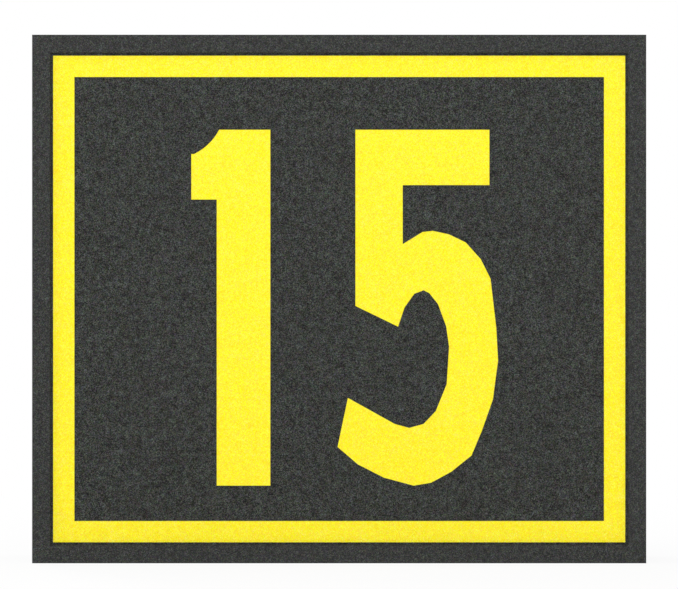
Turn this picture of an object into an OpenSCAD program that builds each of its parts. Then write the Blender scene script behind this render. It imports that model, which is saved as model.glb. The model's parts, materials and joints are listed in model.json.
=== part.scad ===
// Runway location sign, internally lit, one module wide.
// X runs along the sign, Y from the face to the back, Z up. The origin is at the bottom centre.
// A depth is measured from the front lip towards the back, and an inset from the sign's edge inwards.

/* [Sign] */
// Width of the sign, edge to edge
sign_w = 531; // [500:1:700]
// Height of the sign, edge to edge
sign_h = 457; // [440:1:600]
// Depth of the cabinet, from the front lip to the rear rim
sign_d = 160; // [150:1:220]

/* [Frame extrusion] */
// Wall thickness of the frame extrusion
wall = 3; // [2.5:0.5:4]
// Width of the front lip that shows round the face
lip_w = 16; // [14:0.5:17.5]
// Thickness of the front lip
lip_t = 2.5; // [2:0.5:4]
// Reach of the fin behind the face, from the sign's edge
fin_w = 15; // [14:0.5:20]
// Thickness of the fin behind the face
fin_t = 2.5; // [2:0.5:4]
// Width of the raised bands at the front and the rear of the outside
band_w = 24; // [20:1:30]
// Depth of the track sunk into the outside between the bands
track_depth = 4; // [3.5:0.5:6]
// Reach of the flange that carries the back cover, from the sign's edge
flange_w = 19; // [17:0.5:24]
// Thickness of the flange that carries the back cover
flange_t = 2.5; // [2:0.5:4]
// Chamfer on the outside edges of the extrusion
edge_chamfer = 0.8; // [0.4:0.1:1.5]

/* [Face] */
// Thickness of the yellow face panel
face_t = 4.5; // [3:0.5:6]
// Thickness of the black mask film on the face
mask_t = 0.3; // [0.2:0.1:1]
// Black margin outside the yellow border, from the sign's edge
margin_w = 18; // [18:0.5:26]
// Width of the yellow border
border_w = 18.5; // [12:0.5:26]
// Thickness of the rubber seal on each side of the face panel
seal_t = 1; // [0.5:0.1:2]
// Thickness of the rubber seal under the panel's edge
seal_web = 1.2; // [0.8:0.1:2]
// Reach of the rubber seal, from the bottom of its groove
seal_w = 10; // [7:0.5:10.5]

/* [Numerals] */
// Black left below the numerals, from the yellow border
numeral_below = 30.5; // [16:0.5:50]
// Black left above the numerals, from the yellow border
numeral_above = 45.5; // [16:0.5:60]
// Left edge of the stem of the 1, from the sign's centre line
one_x = -106; // [-120:1:-90]
// Left edge of the stem of the 5, from the sign's centre line
five_x = 14; // [4:1:30]
// Width of the stem of the 1
one_stem = 46.5; // [36:0.5:56]
// How far the flag of the 1 stands out from its stem
one_flag = 22; // [16:0.5:30]
// Straight cuts along the hollow edge of the flag of the 1
flag_cuts = 5; // [3:1:24]

/* [Light tray] */
// Depth of the light chamber, from the fin to the back of the tray
chamber_depth = 40; // [34:1:46]
// Sheet thickness of the tray
tray_t = 1.5; // [1:0.1:2]
// How far the rim of the tray laps behind the fin
tray_lap = 3; // [2:0.5:4]
// Thickness of the rails that hold the tray
rail_t = 2; // [1.5:0.5:3]
// Width of the rail's flange against the tray, from the frame wall
rail_flange = 25; // [20:1:32]
// Width of the rail's leg against the frame wall
rail_leg = 14; // [12:1:15]
// Space left between the rail's ends and the frame
rail_end_gap = 15; // [12:1:25]

/* [Light boards] */
// Number of light boards, one above the other
board_count = 6; // [4:1:7]
// Width of a light board
board_w = 24; // [20:1:30]
// Thickness of a light board
board_t = 1.6; // [1:0.2:2]
// Space between a board's ends and the tray's side walls
board_end_gap = 10; // [6:1:20]
// Outermost lenses, from the ends of a board
lens_in = 26; // [22:1:40]
// Number of lenses on a board
lens_count = 7; // [4:1:9]
// Radius of a lens at its foot
lens_r = 7; // [5:0.5:8]
// Height of a lens above its strip
lens_h = 5; // [3:0.5:6]
// Thickness of the moulded strip that carries the lenses
lens_strip_t = 1.5; // [1:0.1:2]
// Width of the moulded strip that carries the lenses
lens_strip_w = 18; // [17:1:20]

/* [Back cover] */
// Sheet thickness of the back cover
cover_t = 2; // [1.5:0.5:3]
// How far the back cover lies inside the rear rim
cover_recess = 4; // [3.5:0.5:6]
// Thickness of the gasket under the back cover
gasket_t = 1.5; // [1:0.5:3]
// Number of stiffening beads pressed into the back cover
bead_count = 3; // [1:1:4]
// Width of a stiffening bead
bead_w = 16; // [10:1:24]
// Depth of a stiffening bead
bead_depth = 3; // [1.5:0.5:4]
// Space between a bead's ends and the sign's edge
bead_end_gap = 70; // [50:1:100]
// Number of cover screws along the top and the bottom
top_screw_count = 5; // [3:1:7]
// Number of cover screws down each side
side_screw_count = 4; // [3:1:6]
// Outermost cover screws, from the sign's corners
screw_from_corner = 45; // [40:1:60]

/* [Corner brackets] */
// Length of each leg of a corner bracket
corner_leg = 45; // [40:1:55]
// Thickness of a corner bracket
corner_t = 4; // [3:0.5:6]
// Width of a corner bracket, along the depth
corner_w = 50; // [44:1:60]
// Screw holes in a corner bracket, from its outer corner
corner_hole_in = 28; // [22:1:32]
// Distance between the two holes in a bracket's leg
corner_hole_gap = 26; // [18:1:30]

/* [Leg mounts] */
// Width of a leg plate, along the sign
plate_w = 160; // [150:1:170]
// Thickness of a leg plate
plate_t = 6; // [5:0.5:8]
// Space between a leg plate and the corner bracket beside it
plate_gap = 3.5; // [2:0.5:6]
// Leg bolts, hole to hole along the sign
bolt_gap_x = 110; // [100:1:120]
// Leg bolts, hole to hole along the depth
bolt_gap_y = 50; // [46:1:56]
// Radius of the leg bolt holes
bolt_hole_r = 5.5; // [4.5:0.5:6.5]

/* [Cable entry] */
// Radius of the gland's thread
gland_r = 12.5; // [11:0.5:14]
// Width across the flats of the gland's hexagons
gland_flats = 33; // [30:1:36]
// Radius of the hole through the gland's rubber insert
cable_r = 6.5; // [4:0.5:7]
// Thickness of the thin nuts outside the frame
locknut_t = 3; // [2:0.5:3.5]
// Height of the gland's hexagon inside the frame
gland_hex_h = 6; // [4:0.5:10]
// Height of the gland's upper thread above its hexagon
gland_neck_h = 12; // [10:1:16]

/* [Service switch] */
// Middle of the switch above the sign's bottom edge
switch_z = 110; // [90:1:160]
// Length of the switch's bezel
bezel_l = 34; // [34:1:40]
// Width of the switch's bezel
bezel_w = 24; // [23:1:28]
// Thickness of the switch's bezel
bezel_t = 1.5; // [1:0.1:2]
// Depth of the switch's housing behind the bezel
housing_depth = 20; // [18:1:28]
// Width of the rocker, along the depth of the sign
rocker_w = 13; // [10:0.5:14]
// Tilt of the rocker to each side of its middle
rocker_tilt = 10; // [6:1:10]
// Radius of the rocker's pivot
pivot_r = 1.5; // [1:0.1:2]
// Gap all round the rocker in its housing
rocker_gap = 0.4; // [0.3:0.1:0.8]

/* [Electrical gear] */
// Length of the power supply
supply_l = 190; // [150:1:200]
// Width of the power supply
supply_w = 72; // [60:1:90]
// Height of the power supply off the tray
supply_h = 34; // [28:1:40]
// Number of cooling ribs on the power supply
rib_count = 9; // [5:1:11]
// Number of ways in the terminal block
way_count = 8; // [6:1:10]
// Distance between two ways of the terminal block
way_pitch = 12; // [10:0.5:14]
// Radius of an inner lead
lead_r = 3; // [2:0.5:3.5]

/* [Screws] */
// Radius of the frame screws
frame_screw_r = 2.5; // [2:0.5:3]
// Radius of the cover, tray and gear screws
small_screw_r = 2; // [1.5:0.5:2.5]
// Clearance round a screw in a hole that isn't threaded
hole_gap = 0.3; // [0.2:0.1:0.5]
// Clearance of a thread in its hole
thread_gap = 0.05; // [0.02:0.01:0.1]

/* [Hidden] */
$fn = 64;
// How far a cut runs past what it cuts, and how far joined shapes reach into each other
over = 1;
weld = 0.01;

black = "#3f403e";
black_plastic = "#2a2a2a";
brass = "#c9b06a";
yellow = "#fff734";
rubber = "#1c1c1c";
bare_metal = "#b9bcbe";
white_paint = "#f0f0ec";

// Frame extrusion
frame_inside = track_depth + wall;
slope_shift = wall * (sqrt(2) - 1);
track_front = band_w + track_depth - slope_shift;
track_back = sign_d - band_w - track_depth + slope_shift;

// Stack of the face, as depths
seal_front = lip_t;
mask_front = seal_front + seal_t;
face_front = mask_front + mask_t;
face_back = face_front + face_t;
fin_front = face_back + seal_t;
fin_back = fin_front + fin_t;
face_inset = wall + seal_web;
field_inset = margin_w + border_w;
numeral_foot = field_inset + numeral_below;
numeral_h = sign_h - 2 * field_inset - numeral_below - numeral_above;

// Stack of the back, as depths
cover_outside = sign_d - cover_recess;
cover_inside = cover_outside - cover_t;
flange_back = cover_inside - gasket_t;
flange_front = flange_back - flange_t;
cover_gap = 0.3;
cover_screw_inset = (wall + flange_w) / 2;

// Light tray
tray_inset = fin_w - tray_lap;
tray_back = fin_back + chamber_depth;
tray_floor = tray_back - tray_t;
chamber_w = sign_w - 2 * (tray_inset + tray_t);
chamber_h = sign_h - 2 * (tray_inset + tray_t);
grommet_r = 8;
grommet_lip = 2;
grommet_lip_r = grommet_r + 3;
grommet_gap = 1;
board_gap = 0.8;
board_edge_gap = grommet_gap + 2 * grommet_lip_r + board_gap;
board_pitch = (chamber_h - board_w - 2 * board_edge_gap) / (board_count - 1);
board_l = chamber_w - 2 * board_end_gap;
lens_pitch = (board_l - 2 * lens_in) / (lens_count - 1);
strip_end_gap = 2;
board_front = tray_floor - board_t;
strip_front = board_front - lens_strip_t;
rail_half = sign_h / 2 - frame_inside - rail_end_gap;
rail_screw_in = 25;
rail_screw_z = rail_half - rail_screw_in;
rail_screw_depth = tray_back + rail_t + (rail_leg - rail_t) / 2;
tray_screw_x = sign_w / 2 - (tray_inset + tray_t + frame_inside + rail_flange) / 2;

// Leg mounts
gear_gap = 2;
plate_front = tray_back + gear_gap;
plate_back = track_back - gear_gap / 2;
plate_d = plate_back - plate_front;
leg_depth = (plate_front + plate_back) / 2;
leg_inset = frame_inside + corner_leg + plate_gap + plate_w / 2;
leg_x = sign_w / 2 - leg_inset;
plate_top = frame_inside + plate_t;
plate_screw_in = 12;
plate_screw_x = plate_w / 2 - plate_screw_in;
bracket_depth = tray_back + rail_leg + gear_gap + corner_w / 2;
drain_r = 2.5;
drain_gap = 8;
drain_x = leg_x - plate_w / 2 - drain_gap;

// Gland and blanking plug, as heights
gland_seat = plate_top;
gland_neck = gland_seat + gland_hex_h;
gland_top = gland_neck + gland_neck_h;
gland_wall = 2.5;
gland_bore_gap = 1;
cap_gap = 0.5;
cap_skirt = gland_neck_h - gland_bore_gap;
cap_shoulder = 2;
cap_top_t = 4;
cap_nose = 3;
plug_lip = 4;
plug_nut_t = 5;
plug_tip = 3;

// Service switch, in the side member's own frame
rocker_half = 12;
rocker_edge = 1;
swing_gap = 0.6;
sweep_gap = 5;
opening_l = 2 * (rocker_half + rocker_gap + swing_gap);
cavity_w = rocker_w + 2 * rocker_gap;
housing_wall = 1.5;
housing_side = 2.5;
housing_l = opening_l + 2 * housing_wall;
housing_w = cavity_w + 2 * housing_side;
rocker_rise = 7.4;
rocker_saddle = 5.6;
rocker_shoulder = 4.5;
rocker_foot = 7;
rocker_drop = 3.5;
pivot_inset = track_depth - bezel_t + rocker_rise - rocker_gap;
cavity_end = pivot_inset + rocker_drop + sweep_gap;
housing_end = max(track_depth + housing_depth, cavity_end + housing_wall);
pivot_bite = 1.2;
pivot_end_gap = 0.3;
tab_pitch = 8;
tab_w = 6;
tab_t = 0.8;
tab_l = 9;

// Electrical gear, on the back of the tray
supply_x = -70;
supply_z = sign_h / 2 + board_pitch;
supply_wall = 2.5;
supply_cover_t = 3;
supply_ear = 14;
rib_h = 5;
terminal_x = 96;
terminal_z = 128;
terminal_end = 10;
terminal_l = way_count * way_pitch + 2 * terminal_end;
terminal_w = 28;
terminal_h = 14;
terminal_hole = 8;
terminal_grip = 7;
barrier_h = 6;
barrier_t = 1.5;
grommet_x = -sign_w / 2 + frame_inside + rail_flange + grommet_lip_r + gear_gap;
grommet_z = tray_inset + tray_t + grommet_gap + grommet_lip_r;
breather_r = 6;
breather_head_r = 9.5;
breather_head_t = 3;
breather_flats = 19;
breather_nut_t = 4;
breather_l = 7;
breather_in = 60;
breather_x = breather_in - sign_w / 2;
breather_z = sign_h - breather_in;
stud_r = 3;
stud_h = 22;
stud_flats = 10;
stud_nut_t = 5;
lug_space = 3;
stud_x = leg_x - plate_screw_x;
stud_y = plate_d / 4;

// Screws. The head's sizes are shares of the screw's radius, and its rim is a share of its height
head_r_share = 1.9;
head_h_share = 1.1;
rim_share = 0.4;
crown_share = 1.2;
socket_r_share = 0.7;
socket_h_share = 0.8;
screw_tip = 2;

// Routes of the inner leads: straight runs between these points, as x, depth and height
lead_gap = 0.2;
lead_bend = 15;
lead_sides = 8;
bend_cuts = 4;
lead_lean = [1, 1, 1];
supply_middle = tray_back + supply_h / 2;
block_middle = tray_back + terminal_h / 2;
block_top = terminal_z + terminal_w / 2;
socket_in = 16;
socket_z = supply_z - supply_w / 2 + socket_in;
lead_drop = 80;
lead_run = 32;
tab_end_x = sign_w / 2 - housing_end - tab_l;
harness_in = 12.5;
harness_x = harness_in - board_l / 2;
harness_depth = strip_front - lead_r - lead_gap;
harness_top = sign_h / 2 + ((board_count - 1) * board_pitch + board_w) / 2;
supply_route = [
    [supply_x + supply_l / 2, supply_middle, socket_z], [way_x(2), supply_middle, socket_z],
    [way_x(2), block_middle, socket_z - lead_drop], [way_x(2), block_middle, block_top]
];
boards_route = [
    [supply_x - supply_l / 2, supply_middle, socket_z], [grommet_x + 15, supply_middle, socket_z],
    [grommet_x + 8, 70, 200], [grommet_x + 8, 75, 80], [grommet_x, 80, grommet_z],
    [grommet_x, 28, grommet_z], [harness_x, harness_depth, 75], [harness_x, harness_depth, harness_top]
];
switch_route = [
    [way_x(way_count), block_middle, block_top], [way_x(way_count), block_middle, 175],
    [tab_end_x - lead_run, leg_depth, 165], [tab_end_x - lead_run, leg_depth, switch_z],
    [tab_end_x, leg_depth, switch_z]
];

// Numerals, drawn at this height from the foot of the stem's left edge. The round parts of the 5
// are straight cuts, with these corners.
outline_h = 308;
five_bar = [[0, outline_h], [116, outline_h], [116, 260], [41, 260], [41, 209]];
five_shoulder = [[58, 219.5], [67, 220.5], [81, 217.5], [95.5, 210.5], [108.5, 196], [117, 179], [122, 136]];
five_belly = [[123.5, 108], [119, 74.5], [109.5, 47.5], [100.5, 26], [83, 12], [65.5, 2.5], [50.5, 0]];
five_tail = [[24.5, 7], [2, 18.5], [-15.5, 33.5], [-6.5, 76]];
five_hollow_foot = [[34, 53.5], [46.5, 50], [59, 53.5], [69.5, 64.5], [79, 88]];
five_hollow_top = [[81, 120.5], [78.5, 138], [71.5, 157], [64, 166.5], [59, 169], [51, 166], [42.5, 154]];
five_stem_foot = [[37, 137.5], [0, 155.5]];
one_flag_foot = 247.5;
one_flag_top = 287;
one_arc_centre = [-19, 331];
one_arc_r = 49;

function depth(d) = d - sign_d / 2;
function spread(count, span) = [for (i = [0:count - 1]) span * (i / (count - 1) - 0.5)];
function board_z(i) = sign_h / 2 + (i - (board_count + 1) / 2) * board_pitch;
function lens_x(i) = (i - (lens_count + 1) / 2) * lens_pitch;
function way_x(i) = terminal_x + (i - (way_count + 1) / 2) * way_pitch;
function arc_points(centre, r, from, to) = [for (i = [0:flag_cuts])
    let (a = from + (to - from) * i / flag_cuts) centre + r * [cos(a), sin(a)]];

// Rows of screws, by side of the sign
long_row = spread(top_screw_count, sign_w - 2 * screw_from_corner);
short_row = spread(side_screw_count, sign_h - 2 * screw_from_corner);
tray_screw_rows = [1, floor(board_count / 2), board_count - 1];
board_screw_in = 6;
middle_screw = lens_x(floor((lens_count - 1) / 2)) + lens_pitch / 2;
board_screw_x = [board_screw_in - board_l / 2, middle_screw, -middle_screw, board_l / 2 - board_screw_in];

function cover_row(side) = side == "top" || side == "bottom" ? long_row : short_row;
function side_length(side) = side == "top" || side == "bottom" ? sign_w : sign_h;

// Carries a shape from the bottom of the sign, where the inset is its height, to another side
module on_side(side) {
    if (side == "bottom") children();
    if (side == "top") translate([0, 0, sign_h]) rotate([0, 180, 0]) children();
    if (side == "left") translate([-sign_w / 2, 0, sign_h / 2]) rotate([0, 90, 0]) children();
    if (side == "right") translate([sign_w / 2, 0, sign_h / 2]) rotate([0, -90, 0]) children();
}

// A block as large as the sign less an inset on all four edges, between two depths
module inset_block(inset, from, to) {
    translate([-sign_w / 2 + inset, depth(from), inset])
        cube([sign_w - 2 * inset, to - from, sign_h - 2 * inset]);
}

module inset_ring(outer, inner, from, to) {
    difference() {
        inset_block(outer, from, to);
        inset_block(inner, from - over, to + over);
    }
}

// A round bar that runs from front to back
module bar_through(x, z, from, to, r) {
    translate([x, depth(from), z]) rotate([-90, 0, 0]) cylinder(r = r, h = to - from);
}

// A button-head screw with a hexagon socket: its head lies below z = 0 and its shank above
module button_screw(r, shank) {
    h = r * head_h_share;
    rim = h * rim_share;
    difference() {
        union() {
            cylinder(r = r, h = shank);
            translate([0, 0, -rim]) cylinder(r = r * head_r_share, h = rim);
            translate([0, 0, -h]) cylinder(r1 = r * crown_share, r2 = r * head_r_share, h = h - rim);
        }
        translate([0, 0, -h - over])
            cylinder(r = r * socket_r_share, h = r * socket_h_share + over, $fn = 6);
    }
}

// A hole along Z that runs past both faces of a wall standing on z = 0
module hole(r, height) {
    translate([0, 0, -over]) cylinder(r = r, h = height + 2 * over);
}

// Cross-section of the extrusion, as depth against inset
module frame_section() {
    polygon([
        [0, edge_chamfer], [edge_chamfer, 0],
        [band_w, 0], [band_w + track_depth, track_depth],
        [sign_d - band_w - track_depth, track_depth], [sign_d - band_w, 0],
        [sign_d - edge_chamfer, 0], [sign_d, edge_chamfer], [sign_d, wall],
        [flange_back, wall], [flange_back, flange_w],
        [flange_front, flange_w], [flange_front, wall],
        [sign_d - band_w + slope_shift, wall], [track_back, frame_inside],
        [track_front, frame_inside], [band_w - slope_shift, wall],
        [fin_back, wall], [fin_back, fin_w], [fin_front, fin_w], [fin_front, wall],
        [lip_t, wall], [lip_t, lip_w], [edge_chamfer, lip_w], [0, lip_w - edge_chamfer]
    ]);
}

// One extrusion cut to a mitre at both ends
module mitred_member(length) {
    reach = max(flange_w, fin_w, lip_w) + over;
    intersection() {
        translate([0, -sign_d / 2, 0]) rotate([90, 0, 90])
            linear_extrude(length, center = true) frame_section();
        rotate([90, 0, 0]) linear_extrude(sign_d + 2 * over, center = true) polygon([
            [-length / 2, 0], [length / 2, 0],
            [length / 2 - reach, reach], [-length / 2 + reach, reach]
        ]);
    }
}

// Places of the frame screws on one side, as [along, depth]: both corner brackets, then the rail
function frame_screw_places(side) = concat(
    [for (end = [-1, 1], hole = [-1, 1])
        [end * (side_length(side) / 2 - frame_inside - corner_hole_in),
         bracket_depth + hole * corner_hole_gap / 2]],
    [for (end = [-1, 1]) if (side == "left" || side == "right") [end * rail_screw_z, rail_screw_depth]]
);

module frame_member(side) {
    color(black) on_side(side) difference() {
        mitred_member(side_length(side));
        for (place = frame_screw_places(side))
            translate([place[0], depth(place[1]), track_depth]) hole(frame_screw_r + hole_gap, wall);
        for (x = cover_row(side))
            translate([x, depth(flange_front), cover_screw_inset]) rotate([-90, 0, 0])
                hole(small_screw_r + thread_gap, flange_t);
        if (side == "bottom") bottom_holes();
        if (side == "right") switch_cutout();
    }
}

// Leg bolts, the two cable holes, the leg plate screws and two drain holes
module bottom_holes() {
    for (side = [-1, 1]) {
        translate([side * leg_x, depth(leg_depth), track_depth]) {
            plate_holes(wall);
            for (end = [-1, 1]) translate([end * plate_screw_x, 0, 0]) hole(small_screw_r + hole_gap, wall);
        }
        translate([side * drain_x, depth(leg_depth), track_depth]) hole(drain_r, wall);
    }
}

// Bolt holes and the cable hole that a leg plate shares with the frame under it
module plate_holes(height) {
    for (x = [-1, 1], y = [-1, 1])
        translate([x * bolt_gap_x / 2, y * bolt_gap_y / 2, 0]) hole(bolt_hole_r, height);
    hole(gland_r + hole_gap, height);
}

module corner_bracket(x_side, z_side) {
    color(bare_metal)
        translate([x_side * sign_w / 2, depth(bracket_depth), sign_h / 2 + z_side * sign_h / 2])
        mirror([x_side > 0 ? 1 : 0, 0, 0]) mirror([0, 0, z_side > 0 ? 1 : 0])
        translate([frame_inside, 0, frame_inside]) difference() {
            translate([0, -corner_w / 2, 0]) cube([corner_leg, corner_w, corner_leg]);
            translate([corner_t, -corner_w / 2 - over, corner_t])
                cube([corner_leg, corner_w + 2 * over, corner_leg]);
            for (y = [-corner_hole_gap / 2, corner_hole_gap / 2]) {
                translate([corner_hole_in, y, 0]) hole(frame_screw_r + thread_gap, corner_t);
                translate([0, y, corner_hole_in]) rotate([0, 90, 0])
                    hole(frame_screw_r + thread_gap, corner_t);
            }
        }
}

module frame_screws() {
    color(bare_metal) for (side = ["top", "bottom", "left", "right"])
        on_side(side) for (place = frame_screw_places(side))
            translate([place[0], depth(place[1]), track_depth])
                button_screw(frame_screw_r, wall + corner_t + screw_tip);
}

// Yellow panel that the light shines through
module face_panel() {
    color(yellow) inset_block(face_inset, face_front, face_back);
}

// Black film on the panel, cut out at the border and the numerals
module face_mask() {
    color(black) {
        inset_ring(face_inset, margin_w, mask_front, face_front);
        difference() {
            inset_block(field_inset, mask_front, face_front);
            translate([0, depth(face_front + over), numeral_foot]) rotate([90, 0, 0])
                linear_extrude(mask_t + 2 * over) {
                    translate([one_x, 0]) numeral_one();
                    translate([five_x, 0]) numeral_five();
                }
        }
    }
}

module numeral_one() {
    k = numeral_h / outline_h;
    from = -asin((one_arc_centre[1] - one_flag_top) / one_arc_r);
    to = -asin((one_arc_centre[1] - outline_h) / one_arc_r);
    polygon(concat(
        [[0, 0], [0, one_flag_foot * k], [-one_flag, one_flag_foot * k], [-one_flag, one_flag_top * k]],
        [for (p = arc_points(one_arc_centre, one_arc_r, from, to)) p * k - [one_flag, 0]],
        [[one_stem, numeral_h], [one_stem, 0]]
    ));
}

module numeral_five() {
    k = numeral_h / outline_h;
    polygon([for (p = concat(
        five_bar, five_shoulder, five_belly, five_tail, five_hollow_foot, five_hollow_top, five_stem_foot
    )) p * k]);
}

// Rubber channel round the panel's edge
module face_seal() {
    color(rubber) difference() {
        inset_ring(wall, wall + seal_w, seal_front, fin_front);
        inset_block(face_inset, mask_front, face_back);
    }
}

// White folded tray, open to the face
module reflector_tray() {
    color(white_paint) difference() {
        inset_block(tray_inset, fin_back, tray_back);
        inset_block(tray_inset + tray_t, fin_back - over, tray_floor);
        holes_through(tray_screw_places(), tray_floor, tray_back, small_screw_r + hole_gap);
        holes_through(board_screw_places(), tray_floor, tray_back, small_screw_r + thread_gap);
        holes_through(supply_screw_places(), tray_floor, tray_back, small_screw_r + thread_gap);
        holes_through(block_screw_places(), tray_floor, tray_back, small_screw_r + thread_gap);
        holes_through([[grommet_x, grommet_z]], tray_floor, tray_back, grommet_r);
    }
}

// Holes from front to back at a list of places, past both faces of the wall between two depths
module holes_through(places, from, to, r) {
    for (place = places) bar_through(place[0], place[1], from - over, to + over, r);
}

// The same screw at a list of places, its head on the face at a depth
module screws_at(places, face, toward_back, r, shank) {
    for (place = places) translate([place[0], depth(face), place[1]])
        rotate([toward_back ? -90 : 90, 0, 0]) button_screw(r, shank);
}

function tray_screw_places() = [for (side = [-1, 1], row = tray_screw_rows)
    [side * tray_screw_x, sign_h / 2 + (row - board_count / 2) * board_pitch]];
function board_screw_places() = [for (i = [1:board_count], x = board_screw_x) [x, board_z(i)]];
function supply_screw_places() = [for (x = [-1, 1], z = [-1, 1])
    [supply_x + x * (supply_l + supply_ear) / 2, supply_z + z * supply_w / 4]];
function block_screw_places() = [for (x = [-1, 1])
    [terminal_x + x * (terminal_l - terminal_end) / 2, terminal_z]];

// Angle on the side of the frame that the tray screws to
module tray_rail(x_side) {
    color(bare_metal) difference() {
        translate([x_side * (sign_w / 2 - frame_inside), depth(tray_back), sign_h / 2 - rail_half])
            mirror([x_side > 0 ? 1 : 0, 0, 0]) {
                cube([rail_flange, rail_t, 2 * rail_half]);
                cube([rail_t, rail_leg, 2 * rail_half]);
            }
        holes_through(tray_screw_places(), tray_back, tray_back + rail_t, small_screw_r + thread_gap);
        on_side(x_side > 0 ? "right" : "left") for (z = [-rail_screw_z, rail_screw_z])
            translate([z, depth(rail_screw_depth), frame_inside]) hole(frame_screw_r + thread_gap, rail_t);
    }
}

module tray_screws() {
    color(bare_metal)
        screws_at(tray_screw_places(), tray_floor, true, small_screw_r, tray_t + rail_t + screw_tip);
}

// Rubber ring that lines the hole for the lead to the light boards
module tray_grommet() {
    color(rubber) difference() {
        union() {
            bar_through(grommet_x, grommet_z, tray_floor - grommet_lip, tray_floor, grommet_lip_r);
            bar_through(grommet_x, grommet_z, tray_floor - weld, tray_back + weld, grommet_r);
            bar_through(grommet_x, grommet_z, tray_back, tray_back + grommet_lip, grommet_lip_r);
        }
        holes_through([[grommet_x, grommet_z]], tray_floor - grommet_lip, tray_back + grommet_lip,
            lead_r + lead_gap);
    }
}

module light_board(i) {
    color("white") difference() {
        translate([-board_l / 2, depth(board_front), board_z(i) - board_w / 2])
            cube([board_l, board_t, board_w]);
        holes_through([for (x = board_screw_x) [x, board_z(i)]], board_front, tray_floor,
            small_screw_r + hole_gap);
    }
}

// Clear moulded strip with a dome over each light
module lens_strip(i) {
    dome_r = (lens_r * lens_r + lens_h * lens_h) / (2 * lens_h);
    strip_l = board_l - 2 * strip_end_gap;
    color("gainsboro") difference() {
        union() {
            translate([-strip_l / 2, depth(strip_front), board_z(i) - lens_strip_w / 2])
                cube([strip_l, lens_strip_t, lens_strip_w]);
            for (k = [1:lens_count]) translate([lens_x(k), depth(strip_front), board_z(i)])
                intersection() {
                    translate([0, dome_r - lens_h, 0]) sphere(r = dome_r);
                    translate([0, lens_strip_t / 2, 0]) rotate([90, 0, 0])
                        cylinder(r = lens_r, h = lens_h + lens_strip_t);
                }
        }
        holes_through([for (x = board_screw_x) [x, board_z(i)]], strip_front, board_front,
            small_screw_r + hole_gap);
    }
}

module board_screws() {
    color(bare_metal) screws_at(board_screw_places(), strip_front, true, small_screw_r,
        lens_strip_t + board_t + tray_t);
}

// Power supply: a ribbed case with an ear at each end, open towards its cover
module supply_case() {
    rise = supply_h - supply_cover_t;
    color(bare_metal) translate([supply_x, depth(tray_back), supply_z]) difference() {
        union() {
            translate([-supply_l / 2, 0, -supply_w / 2]) cube([supply_l, rise, supply_w]);
            translate([-supply_l / 2 - supply_ear, 0, -supply_w / 2])
                cube([supply_l + 2 * supply_ear, supply_wall, supply_w]);
        }
        translate([-supply_l / 2 + supply_wall, supply_wall, -supply_w / 2 + supply_wall])
            cube([supply_l - 2 * supply_wall, rise, supply_w - 2 * supply_wall]);
        for (x = [-1, 1], z = [-1, 1])
            translate([x * (supply_l + supply_ear) / 2, 0, z * supply_w / 4]) rotate([-90, 0, 0])
                hole(small_screw_r + hole_gap, supply_wall);
    }
}

module supply_cover() {
    rib_pitch = supply_w / rib_count;
    color(bare_metal) translate([supply_x, depth(tray_back + supply_h), supply_z]) {
        translate([-supply_l / 2, -supply_cover_t, -supply_w / 2])
            cube([supply_l, supply_cover_t, supply_w]);
        for (i = [0:rib_count - 1])
            translate([-supply_l / 2, -weld, (i + 1 / 4) * rib_pitch - supply_w / 2])
                cube([supply_l, rib_h + weld, rib_pitch / 2]);
    }
}

module supply_screws() {
    color(bare_metal) screws_at(supply_screw_places(), tray_back + supply_wall, false, small_screw_r,
        supply_wall + tray_t);
}

// Row of terminals between raised barriers, with a fixing hole in each end
module terminal_block() {
    color(black_plastic) translate([terminal_x, depth(tray_back), terminal_z]) difference() {
        union() {
            translate([-terminal_l / 2, 0, -terminal_w / 2]) cube([terminal_l, terminal_h, terminal_w]);
            for (i = [0:way_count])
                translate([(i - way_count / 2) * way_pitch - barrier_t / 2, terminal_h - weld,
                    -terminal_w / 2])
                    cube([barrier_t, barrier_h + weld, terminal_w]);
        }
        for (place = terminal_places())
            translate([place[0] - terminal_x, terminal_h - terminal_hole, place[1] - terminal_z])
                rotate([-90, 0, 0]) cylinder(r = small_screw_r + thread_gap, h = terminal_hole + over);
        for (x = [-1, 1]) translate([x * (terminal_l - terminal_end) / 2, 0, 0]) rotate([-90, 0, 0])
            hole(small_screw_r + hole_gap, terminal_h);
    }
}

function terminal_places() = [for (i = [1:way_count], z = [-1, 1])
    [way_x(i), terminal_z + z * terminal_w / 4]];

module terminal_screws() {
    color(brass) screws_at(terminal_places(), tray_back + terminal_h, false, small_screw_r, terminal_grip);
    color(bare_metal) screws_at(block_screw_places(), tray_back + terminal_h, false, small_screw_r,
        terminal_h + tray_t);
}

function unit(v) = v / norm(v);

// Points of a route whose corners are rounded to arcs
function rounded(route) = concat(
    [route[0]],
    [for (i = [1:len(route) - 2]) let (
        a = unit(route[i] - route[i - 1]),
        b = unit(route[i + 1] - route[i]),
        turn = acos(a * b),
        back = lead_bend * tan(turn / 2),
        centre = route[i] + unit(b - a) * lead_bend / cos(turn / 2),
        from = route[i] - a * back - centre,
        to = route[i] + b * back - centre
    ) for (k = [0:bend_cuts]) let (share = k / bend_cuts)
        centre + (sin(turn * (1 - share)) * from + sin(turn * share) * to) / sin(turn)],
    [route[len(route) - 1]]
);

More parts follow.
